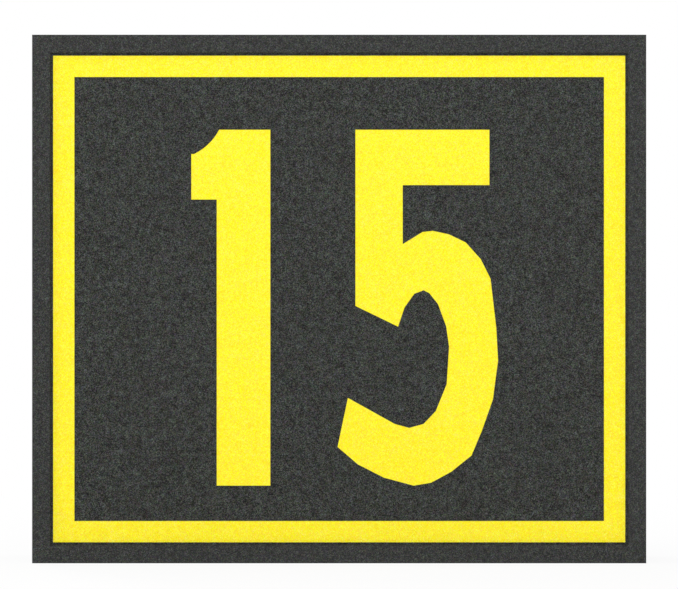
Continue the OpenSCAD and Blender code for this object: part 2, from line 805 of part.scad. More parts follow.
// A round lead swept along its route. Its rings start from the lean, which no run follows
module lead(route) {
    path = [for (p = rounded(route)) [p[0], depth(p[1]), p[2]]];
    last = len(path) - 1;
    rings = [for (i = [0:last]) let (
        along = path[min(i + 1, last)] - path[max(i - 1, 0)],
        u = unit(cross(along, lead_lean)),
        v = unit(cross(along, u))
    ) for (k = [0:lead_sides - 1]) let (a = 360 * k / lead_sides)
        path[i] + lead_r * (u * cos(a) + v * sin(a))];
    color(rubber) polyhedron(rings, concat(
        [[for (k = [0:lead_sides - 1]) k]],
        [for (i = [0:last - 1], k = [0:lead_sides - 1]) let (m = (k + 1) % lead_sides)
            [i * lead_sides + m, i * lead_sides + k, (i + 1) * lead_sides + k, (i + 1) * lead_sides + m]],
        [[for (k = [lead_sides - 1:-1:0]) last * lead_sides + k]]
    ));
}

// Back cover with beads pressed inwards
module back_cover() {
    color(black) difference() {
        union() {
            inset_block(wall + cover_gap, cover_inside, cover_outside);
            for (i = [1:bead_count]) bead(i, cover_inside - bead_depth, cover_inside + weld, cover_t);
        }
        for (i = [1:bead_count]) bead(i, cover_outside - bead_depth, cover_outside + over, 0);
        holes_through(cover_screw_places(), cover_inside, cover_outside, small_screw_r + hole_gap);
        holes_through([[breather_x, breather_z]], cover_inside, cover_outside, breather_r + hole_gap);
    }
}

// Stadium-shaped bead, thicker all round by the sheet where it stands proud inside
module bead(i, from, to, grow) {
    z = sign_h * i / (bead_count + 1);
    half = sign_w / 2 - bead_end_gap;
    r = bead_w / 2 + grow;
    for (x = [-half, half]) bar_through(x, z, from, to, r);
    translate([-half, depth(from), z - r]) cube([2 * half, to - from, 2 * r]);
}

function cover_screw_places() = concat(
    [for (x = long_row, z = [cover_screw_inset, sign_h - cover_screw_inset]) [x, z]],
    [for (z = short_row, x = [-1, 1]) [x * (sign_w / 2 - cover_screw_inset), sign_h / 2 + z]]
);

module cover_gasket() {
    color(rubber) difference() {
        inset_ring(wall + cover_gap, flange_w, flange_back, cover_inside);
        holes_through(cover_screw_places(), flange_back, cover_inside, small_screw_r + hole_gap);
    }
}

module cover_screws() {
    color(bare_metal) screws_at(cover_screw_places(), cover_outside, false, small_screw_r,
        cover_t + gasket_t + flange_t + screw_tip);
}

// Plug that lets the cabinet breathe, with a thin nut inside
module breather_vent() {
    color(black_plastic) {
        bar_through(breather_x, breather_z, cover_outside, cover_outside + breather_head_t, breather_head_r);
        bar_through(breather_x, breather_z, cover_inside - breather_l, cover_outside + weld, breather_r);
    }
}

module breather_nut() {
    color(black_plastic) translate([breather_x, depth(cover_inside - breather_nut_t), breather_z])
        rotate([-90, 0, 0]) hex_nut(breather_r, breather_flats, breather_nut_t);
}

module hex_nut(r, flats, height) {
    difference() {
        cylinder(r = flats / sqrt(3), h = height, $fn = 6);
        hole(r + thread_gap, height);
    }
}

// Plate that spreads the leg's load over the bottom of the frame
module leg_plate(x_side) {
    color(bare_metal) translate([x_side * leg_x, depth(leg_depth), frame_inside]) difference() {
        translate([-plate_w / 2, -plate_d / 2, 0]) cube([plate_w, plate_d, plate_t]);
        plate_holes(plate_t);
        for (end = [-1, 1]) translate([end * plate_screw_x, 0, 0])
            hole(small_screw_r + thread_gap, plate_t);
    }
}

module leg_plate_screws() {
    color(bare_metal) for (side = [-1, 1], end = [-1, 1])
        translate([side * leg_x + end * plate_screw_x, depth(leg_depth), track_depth])
            button_screw(small_screw_r, wall + plate_t);
}

module ground_stud() {
    color(brass) translate([stud_x, depth(leg_depth) + stud_y, plate_top])
        cylinder(r = stud_r, h = stud_h);
}

module ground_nuts() {
    color(brass) for (z = [plate_top, plate_top + stud_nut_t + lug_space])
        translate([stud_x, depth(leg_depth) + stud_y, z]) hex_nut(stud_r, stud_flats, stud_nut_t);
}

// Gland body, fitted with its thin nut outside so that nothing reaches below the frame
module gland_body() {
    foot = track_depth - locknut_t;
    color(black_plastic) translate([leg_x, depth(leg_depth), 0]) difference() {
        union() {
            translate([0, 0, foot]) cylinder(r = gland_r, h = gland_top - foot);
            translate([0, 0, gland_seat]) cylinder(r = gland_flats / sqrt(3), h = gland_hex_h, $fn = 6);
        }
        translate([0, 0, foot]) hole(cable_r + gland_bore_gap, gland_top - foot);
        translate([0, 0, gland_neck]) cylinder(r = gland_r - gland_wall, h = gland_neck_h + over);
    }
}

module gland_locknut() {
    color(black_plastic) translate([leg_x, depth(leg_depth), track_depth - locknut_t])
        hex_nut(gland_r, gland_flats, locknut_t);
}

// Rubber insert that the cap squeezes on to the cable
module gland_insert() {
    color(rubber) translate([leg_x, depth(leg_depth), gland_neck]) difference() {
        cylinder(r = gland_r - gland_wall - thread_gap, h = gland_neck_h + cap_gap);
        hole(cable_r, gland_neck_h + cap_gap);
    }
}

module gland_cap() {
    cavity = cap_skirt + cap_gap;
    color(black_plastic) translate([leg_x, depth(leg_depth), gland_top - cap_skirt]) difference() {
        union() {
            cylinder(r = gland_flats / sqrt(3), h = cavity - cap_shoulder, $fn = 6);
            translate([0, 0, cavity - cap_shoulder])
                cylinder(r1 = gland_flats / 2, r2 = cable_r + cap_nose, h = cap_top_t + cap_shoulder);
        }
        translate([0, 0, -over]) cylinder(r = gland_r + thread_gap, h = cavity + over);
        hole(cable_r + gland_bore_gap, cavity + cap_top_t);
    }
}

// Plug for the cable hole of the leg that carries no cable
module blanking_plug() {
    color(black_plastic) translate([-leg_x, depth(leg_depth), track_depth]) {
        translate([0, 0, -locknut_t]) cylinder(r = gland_r + plug_lip, h = locknut_t);
        translate([0, 0, -weld]) cylinder(r = gland_r, h = wall + plate_t + plug_nut_t + plug_tip);
    }
}

module blanking_nut() {
    color(black_plastic) translate([-leg_x, depth(leg_depth), plate_top])
        hex_nut(gland_r, gland_flats, plug_nut_t);
}

// Puts a shape at the switch, in the frame of the right-hand member: X up, Z inwards
module at_switch() {
    on_side("right") translate([switch_z - sign_h / 2, depth(leg_depth), 0]) children();
}

module switch_cutout() {
    translate([switch_z - sign_h / 2, depth(leg_depth), track_depth + wall / 2])
        cube([housing_l + 2 * hole_gap, housing_w + 2 * hole_gap, wall + 2 * over], center = true);
}

module switch_housing() {
    bezel_z = track_depth - bezel_t;
    color(black_plastic) at_switch() difference() {
        union() {
            translate([-bezel_l / 2, -bezel_w / 2, bezel_z]) cube([bezel_l, bezel_w, bezel_t]);
            translate([-housing_l / 2, -housing_w / 2, track_depth - weld])
                cube([housing_l, housing_w, housing_end - track_depth + weld]);
        }
        translate([-opening_l / 2, -cavity_w / 2, bezel_z - over])
            cube([opening_l, cavity_w, cavity_end - bezel_z + over]);
        translate([0, 0, pivot_inset]) rotate([90, 0, 0]) cylinder(
            r = pivot_r + thread_gap, h = cavity_w + 2 * (pivot_bite + pivot_end_gap), center = true);
    }
}

// Rocker with a stub pivot on each side. It rests with its lower end pressed in
module switch_rocker() {
    color("firebrick") at_switch() translate([0, 0, pivot_inset]) rotate([90, rocker_tilt, 0]) {
        linear_extrude(rocker_w, center = true) polygon([
            [rocker_edge - rocker_half, -rocker_rise], [0, -rocker_saddle],
            [rocker_half - rocker_edge, -rocker_rise],
            [rocker_half, -rocker_shoulder], [rocker_foot, rocker_drop],
            [-rocker_foot, rocker_drop], [-rocker_half, -rocker_shoulder]
        ]);
        cylinder(r = pivot_r, h = cavity_w + 2 * pivot_bite, center = true);
    }
}

module switch_tabs() {
    color(brass) at_switch() for (x = [-tab_pitch, 0, tab_pitch])
        translate([x - tab_t / 2, -tab_w / 2, housing_end]) cube([tab_t, tab_w, tab_l]);
}

frame_member("top");  // frame_top
frame_member("bottom");  // frame_bottom
frame_member("left");  // frame_left
frame_member("right");  // frame_right
corner_bracket(-1, 1);  // corner_bracket_top_left
corner_bracket(1, 1);  // corner_bracket_top_right
corner_bracket(-1, -1);  // corner_bracket_bottom_left
corner_bracket(1, -1);  // corner_bracket_bottom_right
frame_screws();
face_panel();
face_mask();
face_seal();
reflector_tray();
tray_rail(-1);  // tray_rail_left
tray_rail(1);  // tray_rail_right
tray_screws();
tray_grommet();
for (i = [1:board_count]) {
    light_board(i);
    lens_strip(i);
}
board_screws();
supply_case();
supply_cover();
supply_screws();
terminal_block();
terminal_screws();
lead(supply_route);  // lead_to_supply
lead(boards_route);  // lead_to_boards
lead(switch_route);  // lead_to_switch
back_cover();
cover_gasket();
cover_screws();
breather_vent();
breather_nut();
leg_plate(-1);  // leg_plate_left
leg_plate(1);  // leg_plate_right
leg_plate_screws();
ground_stud();
ground_nuts();
gland_body();
gland_locknut();
gland_insert();
gland_cap();
blanking_plug();
blanking_nut();
switch_housing();
switch_rocker();
switch_tabs();
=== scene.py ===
"""Looks of a lit runway location sign, one module wide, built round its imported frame.

X runs along the sign, Y from the face to the back and Z up, in metres. Every size that a piece
shares with its carrier is read from the frame, and the others are named in millimetres.
"""

import json
import logging
import math
from collections.abc import Callable, Iterable, Sequence
from dataclasses import dataclass, field
from enum import Enum, IntEnum

import bmesh
import bpy
from bmesh.types import BMEdge, BMesh, BMFace, BMVert
from bpy.types import Material, Node, NodeInputs, NodeOutputs, NodeSocket, NodeTree, Object, ShaderNodeTree
from mathutils import Matrix, Vector

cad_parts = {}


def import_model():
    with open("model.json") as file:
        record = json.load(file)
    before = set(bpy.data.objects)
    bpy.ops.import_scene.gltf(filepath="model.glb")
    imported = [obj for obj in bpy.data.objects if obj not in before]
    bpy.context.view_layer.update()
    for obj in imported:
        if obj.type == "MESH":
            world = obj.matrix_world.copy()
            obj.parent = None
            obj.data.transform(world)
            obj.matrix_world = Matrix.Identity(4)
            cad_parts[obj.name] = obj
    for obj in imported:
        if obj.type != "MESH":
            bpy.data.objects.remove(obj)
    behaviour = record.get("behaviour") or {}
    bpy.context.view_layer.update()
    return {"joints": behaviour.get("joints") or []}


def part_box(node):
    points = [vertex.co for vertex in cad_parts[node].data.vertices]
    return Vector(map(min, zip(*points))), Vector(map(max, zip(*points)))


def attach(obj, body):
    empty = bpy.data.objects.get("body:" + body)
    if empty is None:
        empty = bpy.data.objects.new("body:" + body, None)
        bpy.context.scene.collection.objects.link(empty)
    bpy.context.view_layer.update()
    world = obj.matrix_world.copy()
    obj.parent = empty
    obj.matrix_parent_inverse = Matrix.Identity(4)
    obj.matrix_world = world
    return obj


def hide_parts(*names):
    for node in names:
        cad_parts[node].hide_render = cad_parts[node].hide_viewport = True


log = logging.getLogger("sign")

MM = 0.001
MERGE = 1e-6
NEAR = 0.05 * MM
FULL_TURN = 2 * math.pi
HERE = Matrix.Identity(4)
WHITE = (1.0, 1.0, 1.0)
BLACK = (0.0, 0.0, 0.0)

MIX_A = 6
MIX_B = 7
MIX_RESULT = 2

THREAD_DEPTH = 0.6
THREAD_STEPS = 16
THREAD_FOOT = 0.45
NUT_FACE = 0.96
NUT_SLOPE = math.tan(math.radians(30))

Color = tuple[float, float, float]
Place = tuple[float, float, float]
Point = tuple[float, float]
Box = tuple[Vector, Vector]
Measure = float | Callable[[float], float]
Ring = tuple[Measure, Measure]


class Axis(IntEnum):
    """The axes of the sign."""

    X = 0
    Y = 1
    Z = 2

    def unit(self) -> Vector:
        """Give the vector of length 1 along the axis."""
        return Vector([float(i == self) for i in range(3)])


class Body(Enum):
    """The bodies that carry the pieces."""

    CABINET = "cabinet"
    ROCKER = "rocker"


class Chosen(Enum):
    """How the edges of a live rounding are chosen."""

    BY_WEIGHT = "WEIGHT"
    BY_ANGLE = "ANGLE"


class Side(IntEnum):
    """The way that the outer side of a sheet faces along Y."""

    FRONT = -1
    BACK = 1


class Direction(Enum):
    """The way in which a brushed or drawn surface runs."""

    ALONG_X = (0.02, 1.0, 1.0)
    ALONG_Z = (1.0, 1.0, 0.02)


class Effect(Enum):
    """The effects that more than one finish uses."""

    GRAIN = "grain"
    CLOUDS = "clouds"
    DRAWN = "drawn"


def feed(tree: ShaderNodeTree, socket: NodeSocket, value: object) -> None:
    """Give an input its value.

    Args:
        tree: The node tree that holds the input.
        socket: The input.
        value: A number, a colour, a vector or the socket that feeds it.
    """
    if isinstance(value, NodeSocket):
        tree.links.new(value, socket)
    elif socket.type == "RGBA":
        socket.default_value = (*value, 1.0)
    else:
        socket.default_value = value


def add_node(
    tree: ShaderNodeTree, kind: str, inputs: dict[str | int, object] | None = None, **settings: object
) -> Node:
    """Add a shader node.

    Args:
        tree: The node tree that takes the node.
        kind: The node's type, without the words that every type starts with.
        inputs: Its inputs' values, by name or number.
        settings: Its other settings by name.

    Returns:
        The new node.
    """
    node = tree.nodes.new("ShaderNode" + kind)
    for key, value in settings.items():
        setattr(node, key, value)
    for key, value in (inputs or {}).items():
        feed(tree, node.inputs[key], value)
    return node


def add_math(tree: ShaderNodeTree, operation: str, a: object, b: object, clamp: bool = False) -> NodeSocket:
    """Add a Math node on two values and give its result."""
    return add_node(tree, "Math", {0: a, 1: b}, operation=operation, use_clamp=clamp).outputs[0]


def add_vector(tree: ShaderNodeTree, operation: str, *values: object) -> NodeSocket:
    """Add a Vector Math node on some vectors and give its result."""
    return add_node(tree, "VectorMath", dict(enumerate(values)), operation=operation).outputs[0]


def add_mix(tree: ShaderNodeTree, blend: str, share: object, a: object, b: object) -> NodeSocket:
    """Add a Mix node on two colours and give its result."""
    inputs = {0: share, MIX_A: a, MIX_B: b}
    return add_node(tree, "Mix", inputs, data_type="RGBA", blend_type=blend).outputs[MIX_RESULT]


def add_noise(
    tree: ShaderNodeTree, place: NodeSocket, rate: NodeSocket, detail: float, roughness: float = 0.5
) -> Node:
    """Add a Noise Texture node at a place."""
    inputs = {"Vector": place, "Scale": rate, "Detail": detail, "Roughness": roughness}
    return add_node(tree, "TexNoise", inputs)


def blend_shaders(tree: ShaderNodeTree, share: NodeSocket, first: Node, second: Node) -> Node:
    """Add a Mix Shader node between two shaders."""
    return add_node(tree, "MixShader", {0: share, 1: first.outputs[0], 2: second.outputs[0]})


def object_place(tree: ShaderNodeTree) -> NodeSocket:
    """Add a Texture Coordinate node and give its Object coordinates."""
    return add_node(tree, "TexCoord").outputs["Object"]


@dataclass
class Effects:
    """Shader node groups that more than one finish uses. Each is built once."""

    groups: dict[Effect, NodeTree] = field(default_factory=dict)
    waver_rate: float = 2.2
    waver_detail: float = 1.0
    waver_reach: float = 1.6
    cell_detail: float = 1.0
    second_cells: float = 0.7
    second_rate: float = 2.3
    drift_rate: float = 0.12
    drift_detail: float = 2.0
    drift_depth: float = 0.3
    mean_tone: float = 0.65
    tone_power: float = 2.2
    bright_above: float = 0.969
    grit_detail: float = 1.5
    grit_roughness: float = 0.65
    patch_detail: float = 3.0
    patch_roughness: float = 0.6
    patch_range: tuple[float, float] = (0.35, 0.65)
    line_detail: float = 4.0
    line_roughness: float = 0.7
    line_gloss: float = 0.5

    def place(self, tree: ShaderNodeTree, effect: Effect, **values: object) -> Node:
        """Put an effect into a material.

        Args:
            tree: The material's node tree.
            effect: The effect.
            values: The group's inputs by name.

        Returns:
            The group node, with the inputs set.
        """
        if effect not in self.groups:
            makers = {Effect.GRAIN: self._grain, Effect.CLOUDS: self._clouds, Effect.DRAWN: self._drawn}
            self.groups[effect] = makers[effect]()
        return add_node(tree, "Group", values, node_tree=self.groups[effect])

    @staticmethod
    def _start(
        effect: Effect, inputs: dict[str, str], outputs: dict[str, str]
    ) -> tuple[NodeTree, NodeOutputs, NodeInputs]:
        """Make an empty group.

        Args:
            effect: The effect that it is for.
            inputs: Socket types by input name.
            outputs: Socket types by output name.

        Returns:
            The tree, what its inputs give and what its outputs take.
        """
        tree = bpy.data.node_groups.new(effect.value, "ShaderNodeTree")
        for way, sockets in (("INPUT", inputs), ("OUTPUT", outputs)):
            for key, kind in sockets.items():
                tree.interface.new_socket(name=key, in_out=way, socket_type="NodeSocket" + kind)
        given, result = (tree.nodes.new(kind) for kind in ("NodeGroupInput", "NodeGroupOutput"))
        return tree, given.outputs, result.inputs

    def _grain(self) -> NodeTree:
        """Build the fine grit of a matt coat or film: small cells, each with its own tone.

        Returns:
            A group that gives the grained colour and its height.
        """
        tree, given, result = self._start(
            Effect.GRAIN,
            {"color": "Color", "size": "Float", "contrast": "Vector", "tint": "Float", "bright": "Float"},
            {"color": "Color", "height": "Float"},
        )
        place = object_place(tree)
        per_metre = add_math(tree, "DIVIDE", 1.0, given["size"])
        waver_rate = add_math(tree, "MULTIPLY", per_metre, self.waver_rate)
        waver = add_noise(tree, place, waver_rate, self.waver_detail).outputs["Color"]
        waver_reach = add_math(tree, "MULTIPLY", given["size"], self.waver_reach)
        cells = add_node(
            tree,
            "TexVoronoi",
            {
                "Vector": add_vector(tree, "MULTIPLY_ADD", waver, waver_reach, place),
                "Scale": per_metre,
                "Detail": self.cell_detail,
                "Roughness": self.second_cells,
                "Lacunarity": self.second_rate,
            },
            normalize=True,
        ).outputs["Color"]
        tones = add_node(tree, "SeparateColor", {"Color": cells}).outputs
        mixed = add_mix(tree, "MIX", given["tint"], tones[0], cells)
        drift_rate = add_math(tree, "MULTIPLY", per_metre, self.drift_rate)
        drift = add_noise(tree, place, drift_rate, self.drift_detail).outputs[0]
        drift = add_math(tree, "MULTIPLY", drift, self.drift_depth)
        swing = add_vector(tree, "ADD", mixed, add_math(tree, "SUBTRACT", drift, self.mean_tone))
        factor = add_vector(tree, "MULTIPLY_ADD", swing, given["contrast"], WHITE)
        factor = add_vector(tree, "MAXIMUM", factor, BLACK)
        toned = add_node(tree, "Gamma", {"Color": factor, "Gamma": self.tone_power}).outputs[0]
        rare = add_math(tree, "GREATER_THAN", tones[1], self.bright_above)
        toned = add_vector(tree, "ADD", toned, add_math(tree, "MULTIPLY", rare, given["bright"]))
        feed(tree, result["color"], add_mix(tree, "MULTIPLY", 1.0, given["color"], toned))
        height = add_noise(tree, place, per_metre, self.grit_detail, self.grit_roughness)
        feed(tree, result["height"], height.outputs[0])
        return tree

    def _clouds(self) -> NodeTree:
        """Build soft patches of two near tones, as in a cast or printed sheet.

        Returns:
            A group that gives the clouded colour and a mask of the patches.
        """
        tree, given, result = self._start(
            Effect.CLOUDS,
            {"color": "Color", "tone": "Color", "size": "Float", "amount": "Float"},
            {"color": "Color", "mask": "Float"},
        )
        per_metre = add_math(tree, "DIVIDE", 1.0, given["size"])
        patches = add_noise(tree, object_place(tree), per_metre, self.patch_detail, self.patch_roughness)
        low, high = self.patch_range
        spread = {"Value": patches.outputs[0], "From Min": low, "From Max": high}
        mask = add_node(tree, "MapRange", spread).outputs[0]
        share = add_math(tree, "MULTIPLY", mask, given["amount"])
        feed(tree, result["color"], add_mix(tree, "MIX", share, given["color"], given["tone"]))
        feed(tree, result["mask"], mask)
        return tree

    def _drawn(self) -> NodeTree:
        """Build the fine lines of drawn, brushed or rolled metal.

        Returns:
            A group that gives the streaked colour, the roughness and the height of the lines.
        """
        numbers = {"size": "Float", "roughness": "Float", "contrast": "Float"}
        tree, given, result = self._start(
            Effect.DRAWN,
            {"color": "Color", "stretch": "Vector", **numbers},
            {"color": "Color", "roughness": "Float", "height": "Float"},
        )
        pulled = add_vector(tree, "MULTIPLY", object_place(tree), given["stretch"])
        per_metre = add_math(tree, "DIVIDE", 1.0, given["size"])
        lines = add_noise(tree, pulled, per_metre, self.line_detail, self.line_roughness).outputs[0]
        swing = add_math(tree, "MULTIPLY", add_math(tree, "SUBTRACT", lines, 0.5), given["contrast"])
        factor = add_math(tree, "ADD", 1.0, swing)
        toned = add_node(tree, "CombineColor", {"Red": factor, "Green": factor, "Blue": factor}).outputs[0]
        gloss = add_math(tree, "MULTIPLY", swing, self.line_gloss)
        feed(tree, result["color"], add_mix(tree, "MULTIPLY", 1.0, given["color"], toned))
        feed(tree, result["roughness"], add_math(tree, "ADD", given["roughness"], gloss, True))
        feed(tree, result["height"], lines)
        return tree


@dataclass(frozen=True)
class Finish:
    """What every finish has: its slot in the record, its colour and its roughness."""

    slot: str
    color: Color
    roughness: float

    def build(self, effects: Effects) -> Material:
        """Build the material: a plain shader, then what its kind of finish adds.

        Args:
            effects: The shared effects.

        Returns:
            The material.
        """
        material = bpy.data.materials.new(self.slot)
        material.use_nodes = True
        material.diffuse_color = (*self.color, 1.0)
        tree = material.node_tree
        shader = tree.nodes["Principled BSDF"]
        shader.inputs["Base Color"].default_value = (*self.color, 1.0)
        shader.inputs["Roughness"].default_value = self.roughness
        self.work(effects, tree, shader)
        return material

    def work(self, effects: Effects, tree: ShaderNodeTree, shader: Node) -> None:
        """Add to the shader what the kind of finish has of its own."""

    @staticmethod
    def bump(tree: ShaderNodeTree, shader: Node, height: NodeSocket, reach: float) -> None:
        """Raise a shader's surface by a height, where 1 stands out by the reach."""
        node = add_node(tree, "Bump", {"Height": height, "Distance": reach, "Strength": 1.0})
        feed(tree, shader.inputs["Normal"], node.outputs[0])


@dataclass(frozen=True)
class GrainedFinish(Finish):
    """A matt coat or film with a fine grain."""

    grain_size: float = 0.6 * MM
    contrast: Color = (3.7, 4.5, 4.4)
    tint: float = 0.27
    bright: float = 3.0
    relief: float = 0.02 * MM
    gloss: float = 0.25

    def ground(self, effects: Effects, tree: ShaderNodeTree) -> Color | NodeSocket:
        """Give the colour that the grain varies."""
        return self.color

    def work(self, effects: Effects, tree: ShaderNodeTree, shader: Node) -> None:
        """Grain the colour and raise the grain.

        Args:
            effects: The shared effects.
            tree: The material's node tree.
            shader: Its shader.
        """
        grain = effects.place(
            tree,
            Effect.GRAIN,
            color=self.ground(effects, tree),
            size=self.grain_size,
            contrast=self.contrast,
            tint=self.tint,
            bright=self.bright,
        )
        feed(tree, shader.inputs["Base Color"], grain.outputs["color"])
        shader.inputs["Specular IOR Level"].default_value = self.gloss
        self.bump(tree, shader, grain.outputs["height"], self.relief)


@dataclass(frozen=True)
class PanelFinish(GrainedFinish):
    """The yellow panel: satin, with faint warm patches and a fine stipple of its colours."""

    contrast: Color = (0.1, 0.25, 4.4)
    tint: float = 1.0
    bright: float = 0.0
    relief: float = 0.01 * MM
    gloss: float = 0.1
    tone: Color = (1.0, 0.84, 0.03)
    patch_size: float = 26 * MM
    patch_share: float = 0.3

    def ground(self, effects: Effects, tree: ShaderNodeTree) -> Color | NodeSocket:
        """Give the patched yellow that the grain varies."""
        patches = effects.place(
            tree,
            Effect.CLOUDS,
            color=self.color,
            tone=self.tone,
            size=self.patch_size,
            amount=self.patch_share,
        )
        return patches.outputs["color"]


@dataclass(frozen=True)
class MouldedFinish(GrainedFinish):
    """Moulded plastic or rubber with a spark-eroded texture."""

    contrast: Color = (0.5, 0.5, 0.5)
    tint: float = 0.0
    bright: float = 0.0
    gloss: float = 0.4


@dataclass(frozen=True)
class MetalFinish(Finish):
    """Bare or plated metal with drawn lines."""

    direction: Direction = Direction.ALONG_X
    line_size: float = 0.5 * MM
    contrast: float = 0.35
    relief: float = 0.01 * MM

    def work(self, effects: Effects, tree: ShaderNodeTree, shader: Node) -> None:
        """Draw lines in the colour, the roughness and the surface.

        Args:
            effects: The shared effects.
            tree: The material's node tree.
            shader: Its shader.
        """
        lines = effects.place(
            tree,
            Effect.DRAWN,
            color=self.color,
            stretch=self.direction.value,
            size=self.line_size,
            roughness=self.roughness,
            contrast=self.contrast,
        ).outputs
        feed(tree, shader.inputs["Base Color"], lines["color"])
        feed(tree, shader.inputs["Roughness"], lines["roughness"])
        shader.inputs["Metallic"].default_value = 1.0
        self.bump(tree, shader, lines["height"], self.relief)


@dataclass(frozen=True)
class PaintFinish(Finish):
    """Smooth gloss paint or solder resist, with the soft waves of a sprayed coat."""

    wave_size: float = 3 * MM
    relief: float = 0.015 * MM
    dust: Color = (0.72, 0.71, 0.66)
    dust_size: float = 60 * MM
    dust_share: float = 0.12

    def work(self, effects: Effects, tree: ShaderNodeTree, shader: Node) -> None:
        """Dust the colour faintly and raise the waves.

        Args:
            effects: The shared effects.
            tree: The material's node tree.
            shader: Its shader.
        """
        sizes = ((self.dust, self.dust_size, self.dust_share), (self.color, self.wave_size, 0.0))
        coat, waves = (
            effects.place(tree, Effect.CLOUDS, color=self.color, tone=tone, size=size, amount=amount)
            for tone, size, amount in sizes
        )
        feed(tree, shader.inputs["Base Color"], coat.outputs["color"])
        self.bump(tree, shader, waves.outputs["mask"], self.relief)


@dataclass(frozen=True)
class LensFinish(Finish):
    """Clear moulded plastic, which lets most of the light straight through."""

    ior: float = 1.49
    clearness: float = 0.9
    opacity: float = 0.35
    flow: Color = (0.86, 0.9, 0.93)
    flow_size: float = 8 * MM
    flow_share: float = 0.4

    def work(self, effects: Effects, tree: ShaderNodeTree, shader: Node) -> None:
        """Make the shader clear and let the moulding's flow show faintly.

        Args:
            effects: The shared effects.
            tree: The material's node tree.
            shader: Its shader.
        """
        shader.inputs["Transmission Weight"].default_value = self.clearness
        shader.inputs["IOR"].default_value = self.ior
        shader.inputs["Alpha"].default_value = self.opacity
        flow = effects.place(
            tree, Effect.CLOUDS, color=self.color, tone=self.flow, size=self.flow_size, amount=self.flow_share
        )
        feed(tree, shader.inputs["Base Color"], flow.outputs["color"])


class Look(Enum):
    """The finishes of the sign's pieces."""

    COAT = GrainedFinish("black_frame", (0.0122, 0.0137, 0.0126), 0.55)
    FILM = GrainedFinish("black_film", (0.0210, 0.0232, 0.0203), 0.6, contrast=(3.0, 3.75, 3.85), gloss=0.15)
    PANEL = PanelFinish("yellow_panel", (1.0, 0.855, 0.014), 0.45)
    RUBBER = MouldedFinish("black_rubber", (0.02, 0.02, 0.02), 0.75, gloss=0.2)
    TRAY_PAINT = PaintFinish("white_tray", (0.85, 0.85, 0.82), 0.3)
    ALUMINIUM = MetalFinish("bare_aluminium", (0.7, 0.71, 0.72), 0.38, direction=Direction.ALONG_Z)
    STAINLESS = MetalFinish("stainless", (0.6, 0.6, 0.6), 0.26, line_size=0.3 * MM, contrast=0.25)
    LAMINATE = PaintFinish("board_laminate", (0.9, 0.9, 0.88), 0.35, wave_size=1.2 * MM)
    LENS = LensFinish("clear_lens", (0.9, 0.92, 0.94), 0.04)
    PHOSPHOR = PaintFinish("clear_lens", (0.95, 0.75, 0.12), 0.5, dust=(0.9, 0.65, 0.1))
    SUPPLY_METAL = MetalFinish("supply_metal", (0.55, 0.56, 0.58), 0.42)
    PLASTIC = MouldedFinish("black_plastic", (0.03, 0.03, 0.03), 0.5)
    BRASS = MetalFinish("plated_brass", (0.65, 0.55, 0.3), 0.3, line_size=0.3 * MM)
    JACKET = MouldedFinish("lead_jacket", (0.03, 0.03, 0.035), 0.55, grain_size=0.8 * MM)
    ROCKER = MouldedFinish("rocker_plastic", (0.45, 0.03, 0.02), 0.35, contrast=(0.2,) * 3, relief=0.004 * MM)
    MARK = MouldedFinish("rocker_plastic", (0.82, 0.82, 0.8), 0.4, contrast=(0.15,) * 3, relief=0.004 * MM)


def pointing(seat: Vector, axis: Sequence[float]) -> Matrix:
    """Give the transform from a piece that points along +Z at the origin to a seat and an axis."""
    return Matrix.Translation(seat) @ Vector(axis).to_track_quat("Z", "Y").to_matrix().to_4x4()


def foot(box: Box, along: Axis) -> Vector:
    """Give the middle of a box's lowest side along an axis."""
    return (box[0] + box[1]) / 2 - along.unit() * (box[1] - box[0])[along] / 2


def extent(points: Sequence[Vector]) -> Box:
    """Give the lowest and the highest corner of some points."""
    low, high = (Vector([pick(p[i] for p in points) for i in range(3)]) for pick in (min, max))
    return low, high


def add_object(name: str, data: bpy.types.ID) -> Object:
    """Add an object to the scene.

    Args:
        name: The object's name.
        data: Its mesh, lamp or camera.

    Returns:
        The object.
    """
    made = bpy.data.objects.new(name, data)
    bpy.context.scene.collection.objects.link(made)
    return made


def as_mesh(name: str, bm: BMesh) -> bpy.types.Mesh:
    """Write a bmesh to a new mesh.

    Args:
        name: The mesh's name.
        bm: The bmesh, which is used up.

    Returns:
        The mesh.
    """
    mesh = bpy.data.meshes.new(name)
    bm.to_mesh(mesh)
    bm.free()
    return mesh


def merged_copy(node: str) -> BMesh:
    """Copy a node's mesh with its loose triangles joined.

    Args:
        node: The name of the node.

    Returns:
        A new bmesh.
    """
    bm = bmesh.new()
    bm.from_mesh(bpy.data.objects[node].data)
    bmesh.ops.remove_doubles(bm, verts=bm.verts, dist=MERGE)
    return bm


def worked_copy(node: str, flat_within: float = 0.5) -> BMesh:
    """Copy a node's mesh with each flat face whole.

    Args:
        node: The name of the node.
        flat_within: The angle in degrees up to which faces are one flat face.

    Returns:
        A new bmesh.
    """
    bm = merged_copy(node)
    limit = math.radians(flat_within)
    bmesh.ops.dissolve_limit(
        bm, angle_limit=limit, use_dissolve_boundaries=False, verts=bm.verts, edges=bm.edges
    )
    return bm


def sharp_edges(bm: BMesh, degrees: float = 28.0) -> list[BMEdge]:
    """List the edges whose faces meet at more than an angle."""
    return [e for e in bm.edges if e.is_manifold and e.calc_face_angle() > math.radians(degrees)]


def edges_between(bm: BMesh, verts: Iterable[BMVert]) -> list[BMEdge]:
    """List the edges whose ends are both among some vertices."""
    member = set(verts)
    return [e for e in bm.edges if member.issuperset(e.verts)]


def new_verts(result: dict[str, list]) -> list[BMVert]:
    """List the vertices that an extrusion made."""
    return [item for item in result["geom"] if isinstance(item, BMVert)]


